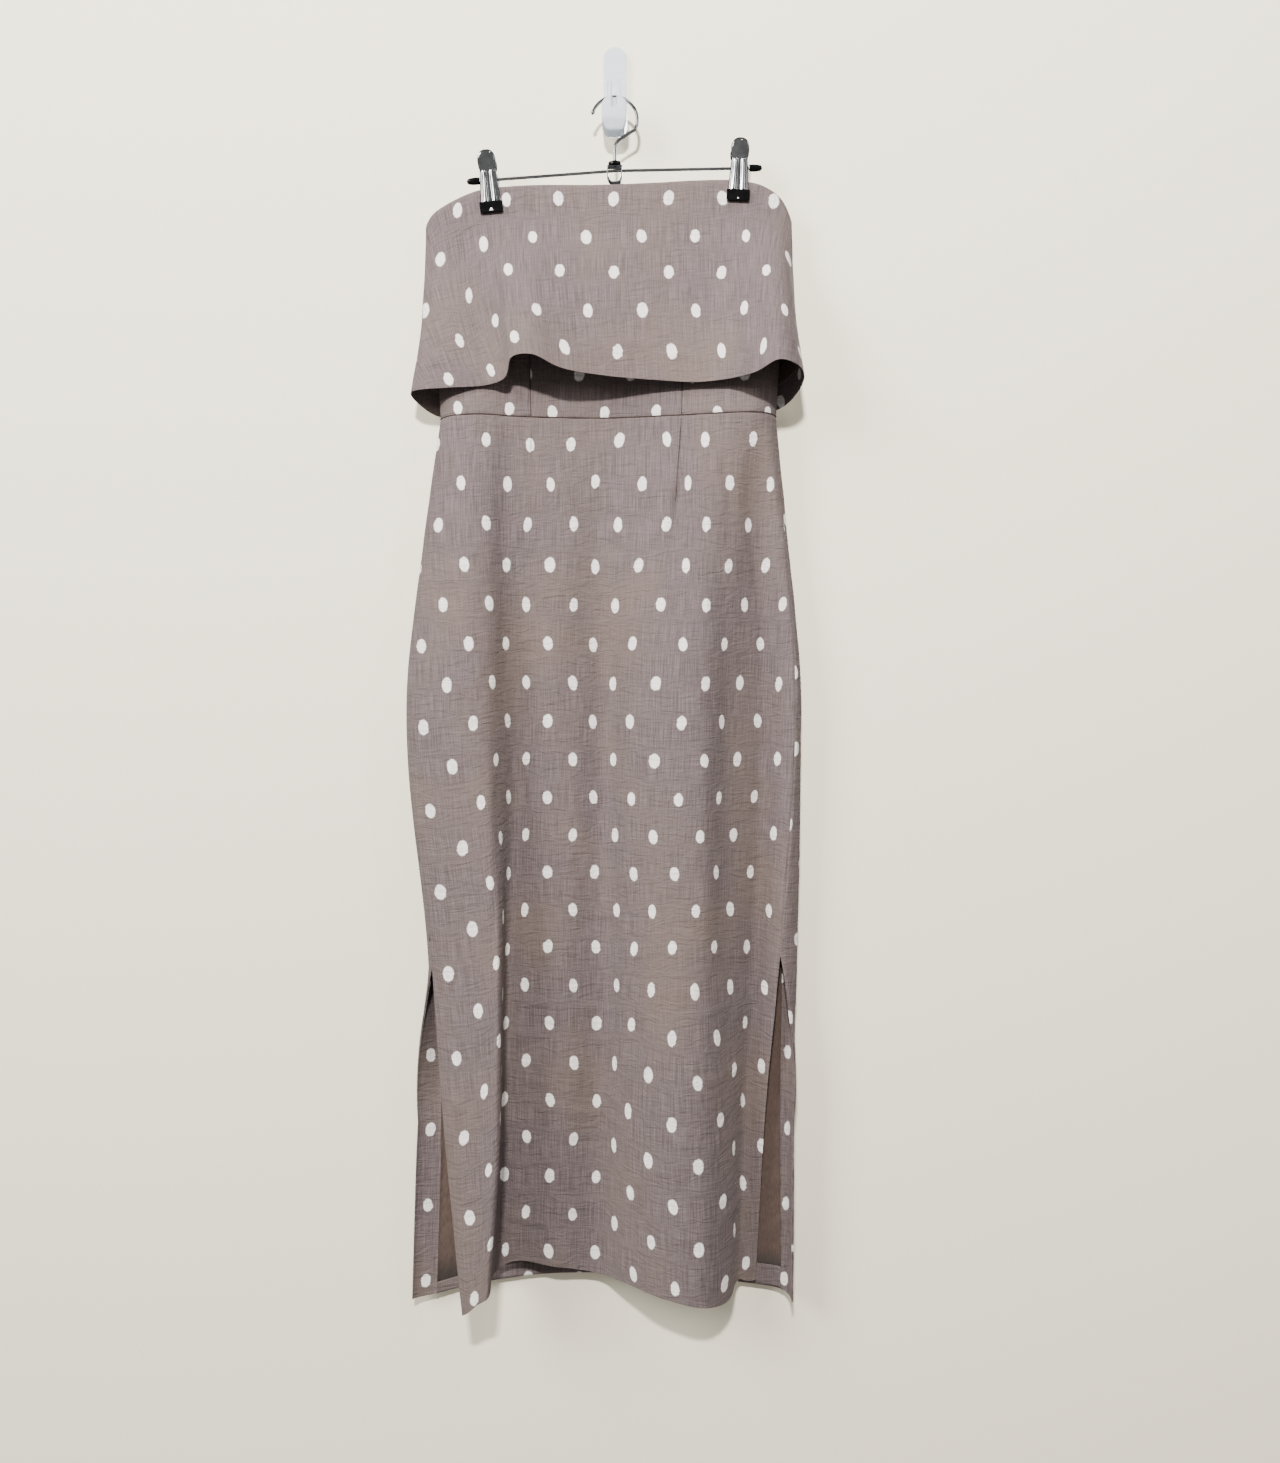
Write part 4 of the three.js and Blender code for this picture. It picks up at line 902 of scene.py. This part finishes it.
# The cloth pieces. Each has its grid of folds and rows, its places in the cloth, and its relief.
def skirt_front():
    downs = list(spread(0, 1, 226))
    grid = Grid(skirt_section, False, spread(0, FRONT_LAST, 172), lambda x: downs)
    along = spot_columns(grid, SKIRT_SPOT_INDEX, SKIRT_STATIONS, SPOT_PITCH)
    lower = hung_lower(grid, DROP_PLACES, SKIRT_DROP)
    uv = cloth_uv(along, below(grid, waist_height) - lower)
    relief = ripple(uv, 0.4, 1.0) + pressed(grid, SKIRT_FRONT_CREASES)
    piece = cloth_wall("skirt_front", grid, SKIRT_CLOTH, uv, relief)


def skirt_backs():
    downs = list(spread(0, 1, 200))
    for name, first, last, seed in (("left", 0, BACK_CENTRE, 2.0), ("right", BACK_CENTRE, BACK_LAST, 3.0)):
        grid = Grid(skirt_section, True, spread(first, last, 64), lambda x: downs)
        uv = cloth_uv(grid.run * MM + BACK_SPOTS_SHIFT, below(grid, waist_height))
        relief = ripple(uv, 0.35, seed) + pressed(grid, SKIRT_BACK_CREASES)
        piece = cloth_wall(f"skirt_back_{name}", grid, SKIRT_CLOTH, uv, relief)


def bodice():
    # Name, first and last fold, pixel column of a spot in the photo, mm that its row is raised, flat size
    panels = (
        ("front_side_left", 0, FRONT_LEFT_PRINCESS, 459, 7, False, (0.125, 0.245)),
        ("front_centre", FRONT_LEFT_PRINCESS, FRONT_RIGHT_PRINCESS, 552, 5, False, (0.18, 0.245)),
        ("front_side_right", FRONT_RIGHT_PRINCESS, FRONT_LAST, 717, 0, False, (0.125, 0.245)),
        ("back_left", 0, BACK_CENTRE, 500, 5, True, (0.20, 0.245)),
        ("back_right", BACK_CENTRE, BACK_LAST, 640, 5, True, (0.195, 0.245)),
    )
    downs = list(spread(0, 1, 60))
    for name, first, last, spot_pixel, above, is_back, flat in panels:
        grid = Grid(bodice_section, is_back, spread(first, last, 12 * (last - first)), lambda x: downs)
        spot = PHOTO_MIDDLE_X + (spot_pixel - PHOTO_MIDDLE_COLUMN) * BODICE_PIXEL
        run = np.interp(spot, grid.point[-1, :, 0], grid.run[-1])
        uv = cloth_uv((grid.run - run) * MM, below(grid, waist_height) + above + SPOT_FIRST + SPOT_ROW)
        piece = cloth_wall(f"bodice_{name}", grid, SKIRT_CLOTH, uv, ripple(uv, 0.1, 1.0), wall=INNER_WALL,
                           rolled=("foot", "left", "right"))


def back_inside():
    """What lies inside the skirt's back: its lining, the slits' turned edges and the turned hem."""
    def turn_top(across):
        edge = BODY_BACK[0][1][-1]
        share = (across - edge) / (-2 * edge)
        return 1 - (HEM_TURN_LEFT + (HEM_TURN_RIGHT - HEM_TURN_LEFT) * share) / SKIRT_LENGTH

    def hem_downs(across):
        top = turn_top(across)
        return [top + (1 - top) * k / 6 for k in range(7)]

    lining_downs = list(spread(SKIRT_LINING_TOP / SKIRT_ROWS, 1 - 1 / SKIRT_ROWS, 120, ()))
    faced = list(spread(SLIT_FACING_TOP / SKIRT_ROWS, 1, 110, ("end",)))
    pieces = (
        ("skirt_lining_back", BACK_LEFT_FACING, BACK_RIGHT_FACING, 96,
         lambda x: lining_downs + [turn_top(x)], (0.40, 0.88), 4.0),
        ("slit_facing_left", 0, BACK_LEFT_FACING, 20, lambda x: faced, (0.03, 0.35), 5.0),
        ("slit_facing_right", BACK_RIGHT_FACING, BACK_LAST, 20, lambda x: faced, (0.03, 0.35), 6.0),
        ("hem_turn_left", BACK_LEFT_FACING, BACK_CENTRE, 60, hem_downs, (0.18, 0.015), 7.0),
        ("hem_turn_right", BACK_CENTRE, BACK_RIGHT_FACING, 60, hem_downs, (0.187, 0.021), 8.0),
    )
    for name, first, last, columns, places, flat, seed in pieces:
        is_lining = name == "skirt_lining_back"
        grid = Grid(skirt_section, True, spread(first, last, columns), places)
        uv = cloth_uv(grid.run * MM + BACK_SPOTS_SHIFT, below(grid, waist_height))
        relief = ripple(uv, 0.1, seed)
        if is_lining:
            relief -= PUCKER_DEPTH * np.abs(pressed(grid, LINING_PUCKERS))
        piece = cloth_wall(name, grid, LINING if is_lining else SKIRT_CLOTH, uv, relief, depth=1,
                           wall=INNER_WALL, rolled=("left", "right"))


def overlay():
    downs = list(spread(0, 1, 76))
    grid = Grid(overlay_section, False, spread(0, OVERLAY_LAST, 200), lambda x: downs)
    along = spot_columns(grid, OVERLAY_SPOT_INDEX, OVERLAY_SPOT_STATIONS, OVERLAY_PITCH)
    uv = cloth_uv(along, reach(grid.point, 0) - hung_lower(grid, OVERLAY_DROP_PLACES, OVERLAY_DROP))
    relief = ripple(uv, 0.25, 9.0) + pressed(grid, OVERLAY_FRONT_CREASES)
    piece = cloth_wall("overlay_front", grid, OVERLAY_CLOTH, uv, relief)
    for name, first, last, seed in (("left", 0, BACK_CENTRE, 10.0), ("right", BACK_CENTRE, BACK_LAST, 11.0)):
        grid = Grid(overlay_section, True, spread(first, last, 76), lambda x: downs)
        uv = cloth_uv(grid.run * MM + OVERLAY_BACK_SPOTS_SHIFT, reach(grid.point, 0))
        relief = ripple(uv, 0.2, seed) + pressed(grid, OVERLAY_BACK_CREASES)
        piece = cloth_wall(f"overlay_back_{name}", grid, OVERLAY_CLOTH, uv, relief)
    inside = list(spread(OVERLAY_LINING_TOP / OVERLAY_ROWS, OVERLAY_LINING_FOOT / OVERLAY_ROWS, 30, ()))
    grid = Grid(overlay_section, True, spread(0, BACK_LAST, 130, ()), lambda x: inside)
    uv = cloth_uv(grid.run * MM, below(grid, waist_height))
    piece = cloth_wall("overlay_lining_back", grid, LINING, uv, depth=1, wall=INNER_WALL, rolled=())

# The hanger and the wall hook, with rounder forms than their solids
def bar(name, line, radii, material, sides=24):
    """A round bar along a line, with one radius for each place on it, closed at both ends."""
    line = np.asarray(line, float)
    ahead = np.gradient(line, axis=0)
    ahead /= np.linalg.norm(ahead, axis=1, keepdims=True)
    across = np.array([0.0, 1.0, 0.0]) if abs(ahead[0][1]) < 0.9 else np.array([1.0, 0.0, 0.0])
    rings = []
    for place, way, radius in zip(line, ahead, radii):
        across = across - way * (across @ way)
        across /= np.linalg.norm(across)
        other = np.cross(way, across)
        angles = np.arange(sides) * 2 * math.pi / sides
        rings.append(place + radius * (np.cos(angles)[:, None] * across + np.sin(angles)[:, None] * other))
    rings = np.array(rings)
    count = len(rings)
    index = np.arange(count * sides).reshape(count, sides)
    after = np.roll(index, -1, axis=1)
    faces = np.stack([index[:-1], after[:-1], after[1:], index[1:]], -1).reshape(-1, 4).tolist()
    points = np.vstack([rings.reshape(-1, 3), rings[0].mean(0), rings[-1].mean(0)])
    start, end = count * sides, count * sides + 1
    faces += [[start, after[0][k], index[0][k]] for k in range(sides)]
    faces += [[end, index[-1][k], after[-1][k]] for k in range(sides)]
    return mesh_piece(name, points, faces, material)


def moulded(node, grain, rounds, material):
    """The node's own form, with the rounded edges of a moulded or pressed part."""
    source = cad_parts[node]
    points = np.array([source.matrix_world @ v.co for v in source.data.vertices]) / MM
    faces = [list(p.vertices) for p in source.data.polygons]
    piece = mesh_piece(f"round_{node}", points, faces, material)
    even_skin = piece.modifiers.new("even", "REMESH")
    even_skin.mode = "VOXEL"
    even_skin.voxel_size = grain * MM
    even_skin.use_smooth_shade = True
    soft = piece.modifiers.new("soft", "SMOOTH")
    soft.iterations = rounds
    soft.factor = 0.5
    return stands_for(piece, node)


def rod_height(across):
    return float(np.interp(across, ROD_ACROSS, ROD_HEIGHT))


def painted_seam_shadow(name, points, outward, radius=SEAM_RADIUS):
    """A dark cord laid in the cloth's own surface along a seam. It marks where the seam runs, and its dark
    colour is painted shadow for the seam's groove.
    """
    radii = np.full(len(points), radius)
    bar(name, points - outward * SEAM_SUNK, radii, SEAM_PAINTED_SHADOW, 6)


# The cords along the waist seam, princess seams, darts and back seams are painted shadow for their grooves.
def seams():
    for side, is_back, last in (("front", False, FRONT_LAST), ("back", True, BACK_LAST)):
        grid = Grid(skirt_section, is_back, np.linspace(0.04, last - 0.04, 220), lambda x: [0.0])
        painted_seam_shadow(f"waist_seam_{side}", grid.point[0], grid.outward[0])
    # Name, section, fold, the share of the way down where the seam starts and ends, and its radius
    uprights = (
        ("left_princess_seam", bodice_section, False, FRONT_LEFT_PRINCESS, 0.5, 0.995, 0.42),
        ("right_princess_seam", bodice_section, False, FRONT_RIGHT_PRINCESS, 0.5, 0.995, 0.42),
        ("bodice_back_seam", bodice_section, True, BACK_CENTRE, 0.5, 0.995, 0.5),
        ("left_dart", skirt_section, False, FRONT_LEFT_PRINCESS, 0.004, 0.05, 0.3),
        ("right_dart", skirt_section, False, FRONT_RIGHT_PRINCESS, 0.004, 0.1, 0.42),
        ("skirt_back_seam", skirt_section, True, BACK_CENTRE, 0.004, 0.996, 0.5),
        ("overlay_back_seam", overlay_section, True, BACK_CENTRE, 0.02, 0.99, 0.5),
    )
    for name, section, is_back, fold, start, end, radius in uprights:
        downs = list(np.linspace(start, end, 60))
        grid = Grid(section, is_back, [fold], lambda x: downs)
        painted_seam_shadow(name, grid.point[:, 0], grid.outward[:, 0], radius)


def hanger():
    angles = np.radians(np.linspace(*HOOK_SWEEP, 80))
    arc = np.stack([HOOK_RADIUS * np.cos(angles), HOOK_CENTRE + HOOK_RADIUS * np.sin(angles)], 1)
    bends = np.vstack([arc[-1], HOOK_STEM])
    stem = curve_at(np.hstack([bends, np.zeros((len(bends), 1))]), np.linspace(0, len(bends) - 1, 70))[1:, :2]
    flat = np.vstack([arc, stem])
    line = np.stack([flat[:, 0], np.full(len(flat), -HANG_OUT), flat[:, 1]], 1)
    radii = np.full(len(line), WIRE_RADIUS)
    # The wire's end is a small ball
    radii[:4] = WIRE_RADIUS * np.array([0.55, 1.02, 1.3, 1.15])
    stands_for(bar("round_hook_wire", line, radii, CHROME), "hook_wire")

    left, right = ROD_ACROSS[0] + CAP_LENGTH, ROD_ACROSS[-1] - CAP_LENGTH
    places = np.linspace(left, right, 90)
    line = [[x, -HANG_OUT, rod_height(x)] for x in places]
    stands_for(bar("round_rod", line, np.full(len(line), ROD_RADIUS), CHROME), "rod")
    for side, start, end in (("left", left, ROD_ACROSS[0]), ("right", right, ROD_ACROSS[-1])):
        places = [start + (end - start) * share for share, _ in CAP_PROFILE]
        line = [[x, -HANG_OUT, rod_height(x)] for x in places]
        radii = [radius for _, radius in CAP_PROFILE]
        stands_for(bar(f"round_rod_cap_{side}", line, radii, VINYL, 32), f"rod_cap_{side}")
    moulded("collar_ring", 0.3, 4, VINYL)
    moulded("collar_bracket", 0.3, 4, CHROME)


def rib_share(share):
    """Two half-round ribs pressed in each front jaw."""
    near = np.clip(np.abs(np.abs(share) - RIB_MIDDLE) / RIB_HALF, 0, 1)
    return np.cos(near * math.pi / 2) ** 1.2


def jaw_surface(facing, heights, shares):
    """A jaw's outer face, with its ribs, its domed thumb pad and its turned edges."""
    h = heights[:, None]
    half, out, rib = (
        np.array([smooth_at(JAW_HEIGHT, values, height) for height in heights])[:, None]
        for values in (JAW_HALF, JAW_OUT, JAW_RIB)
    )
    low, full, fading, end = THUMB_PAD
    pad = smoothstep(h, low, full) * (1 - smoothstep(h, fading, end))
    dome = THUMB_DOME * pad * (1 - shares**2)
    turn = FLANGE * np.clip((np.abs(shares) - FLANGE_START) / (1 - FLANGE_START), 0, 1) ** 2
    ribbed = rib * rib_share(shares) if facing > 0 else 0
    outward = facing * (out + ribbed + dome - turn)
    return shares * half, outward, np.broadcast_to(h, outward.shape)


def clip(side, across, lean):
    angle = math.radians(lean)
    middle = np.array([across, -HANG_OUT, rod_height(across)])

    def hung(x, out, z):
        """Places in the frame, from those of an upright clip whose middle is on the rod."""
        leaning = x * math.cos(angle) + z * math.sin(angle)
        height = z * math.cos(angle) - x * math.sin(angle)
        return middle + np.stack([leaning, -out, height], -1)

    lower = np.linspace(JAW_HEIGHT[0], JAW_FLARE, 60)
    upper = np.linspace(JAW_FLARE + 0.5, JAW_HEIGHT[-1], 46)
    heights = np.concatenate([lower, upper])
    shares = np.linspace(-1, 1, 81)[None, :]
    for face, facing in (("front", 1), ("back", -1)):
        x, out, z = jaw_surface(facing, heights, shares)
        walls = (hung(x, out, z), hung(x * TUCKED_IN, out - facing * JAW_WALL, z))
        points = np.concatenate([wall.reshape(-1, 3) for wall in walls])
        faces = wall_faces(len(heights), shares.shape[1], facing > 0)
        jaw = mesh_piece(f"round_clip_{side}_{face}_jaw", points, faces, CHROME)
        stands_for(jaw, f"clip_{side}_{face}_jaw")
        moulded(f"clip_{side}_{face}_tip", 0.4, 4, VINYL)
    turns = np.linspace(math.pi, SPRING_COILS * 2 * math.pi, SPRING_COILS * 28)
    leg = np.linspace(0, 1, 6)[1:]
    ends = np.full(len(leg), SPRING_REACH)
    x = np.concatenate([-ends, np.linspace(-SPRING_REACH, SPRING_REACH, len(turns)), ends])
    spreading = SPRING_RADIUS + 2 * leg
    out = np.concatenate([-spreading[::-1], SPRING_RADIUS * np.cos(turns), spreading])
    z = np.concatenate([SPRING_LEG * leg[::-1], SPRING_RADIUS * np.sin(turns), SPRING_LEG * leg])
    line = hung(x, out, z)
    spring = bar(f"round_clip_{side}_spring", line, np.full(len(line), SPRING_WIRE), CHROME, 10)
    stands_for(spring, f"clip_{side}_spring")
    # A small pale mark stands on the front tip's foot
    size = MARK_SIZE[side]
    face, foot = TIP_FACE + MARK_PROUD, TIP_FOOT + MARK_ABOVE_FOOT
    corners = [(size * right, foot + size * up) for right, up in MARK_CORNERS]
    points = np.array([hung(x, out, z) for out in (face, face - MARK_THICK) for x, z in corners])
    faces = [[0, 1, 2, 3], [7, 6, 5, 4]] + [[k, k + 4, (k + 1) % 4 + 4, (k + 1) % 4] for k in range(4)]
    mark = mesh_piece(f"clip_{side}_mark", points, faces, MARK)


def wall_hook():
    moulded("wall_hook_plate", 0.6, 12, PLASTIC)
    moulded("wall_hook_lobe", 0.5, 90, PLASTIC)


overlay()
bodice()
skirt_front()
skirt_backs()
back_inside()
seams()
hanger()
clip("left", -130, -5.7)
clip("right", 129, 2.6)
wall_hook()

# The photograph's own view: square to the wall. The place is in metres.
CAMERA_PLACE = (0.0264, -1.35, -0.6776)
SENSOR_WIDTH = 36
LENS = 31.45
camera = bpy.data.objects.new("camera", bpy.data.cameras.new("camera"))
bpy.context.scene.collection.objects.link(camera)
camera.location = CAMERA_PLACE
camera.rotation_euler = (math.radians(90), 0, 0)
camera.data.sensor_width = SENSOR_WIDTH
camera.data.lens = LENS
bpy.context.scene.camera = camera


def stage_piece(name, corners, material):
    """A flat piece of the stage. It gives no light back and isn't seen in what shines."""
    mesh = bpy.data.meshes.new(name)
    mesh.from_pydata(corners, [], [[0, 1, 2, 3]])
    mesh.materials.append(material)
    piece = bpy.data.objects.new(name, mesh)
    bpy.context.scene.collection.objects.link(piece)
    piece.visible_diffuse = False
    piece.visible_glossy = False
    return piece


def pale_paint(name, colour):
    n = Nodes(name)
    n.set(Base_Color=linear(*colour), Roughness=0.9, Specular_IOR_Level=0.1)
    return n


def one_sided_wall():
    """Pale wall behind the hook. It is clear from behind, so that the back of the dress can be seen."""
    n = pale_paint("wall_paint", (255, 248, 225))
    side = n.node("ShaderNodeNewGeometry")
    clear = n.node("ShaderNodeBsdfTransparent")
    both = n.node("ShaderNodeMixShader")
    n.link(side.outputs["Backfacing"], both.inputs[0])
    n.link(n.shader.outputs[0], both.inputs[1])
    n.link(clear.outputs[0], both.inputs[2])
    n.link(both.outputs[0], n.out.inputs["Surface"])
    corners = [(-WALL_HALF, WALL_OUT, FLOOR), (WALL_HALF, WALL_OUT, FLOOR), (WALL_HALF, WALL_OUT, WALL_TOP),
               (-WALL_HALF, WALL_OUT, WALL_TOP)]
    stage_piece("stage_wall", corners, n.material).visible_shadow = False


def floor():
    corners = [(-FLOOR_HALF, -FLOOR_HALF, FLOOR), (FLOOR_HALF, -FLOOR_HALF, FLOOR),
               (FLOOR_HALF, FLOOR_HALF, FLOOR), (-FLOOR_HALF, FLOOR_HALF, FLOOR)]
    stage_piece("stage_floor", corners, pale_paint("floor_paint", (222, 218, 210)).material)


def lamp(name, place, target, size, power, colour):
    light = bpy.data.lights.new(name, "AREA")
    light.shape = "RECTANGLE"
    light.size, light.size_y = size
    light.energy = power
    light.color = colour
    made = bpy.data.objects.new(name, light)
    bpy.context.scene.collection.objects.link(made)
    made.location = place
    made.rotation_euler = (Vector(target) - Vector(place)).to_track_quat("-Z", "Y").to_euler()
    return made


# The stage, in metres
FLOOR = -1.6
FLOOR_HALF = 3.0
WALL_HALF = 0.95
WALL_TOP = 0.3
WALL_OUT = 0.0005
one_sided_wall()
floor()

# Lamps: place, target, width and height in metres, then watts and colour. The key light isn't
# mirrored, because the clips' flat faces would turn white.
key = lamp("key_light", (-0.14, -2.46, 0.92), (0, 0, 1.0), (0.25, 0.16), 184, (1.0, 0.97, 0.935))
key.visible_glossy = False
lamp("side_fill", (-3.0, -2.2, 1.4), (0, 0, -0.1), (1.6, 2.0), 225, (1.0, 0.97, 0.93))
lamp("right_strip", (2.6, -2.4, 0.6), (0, 0, -0.4), (0.5, 1.8), 22, (1.0, 0.97, 0.93))
lamp("glint", (0.7, -2.2, 2.4), (0, 0, 0), (0.25, 0.25), 12, (1.0, 0.98, 0.95))
lamp("rear_light", (0.9, 3.6, 1.6), (0, 0, -0.7), (2.2, 1.6), 300, (1.0, 0.97, 0.94))

world = bpy.data.worlds.new("world")
bpy.context.scene.world = world
world.use_nodes = True
background = world.node_tree.nodes["Background"]
background.inputs["Color"].default_value = (0.88, 0.86, 0.82, 1)
background.inputs["Strength"].default_value = 0.36
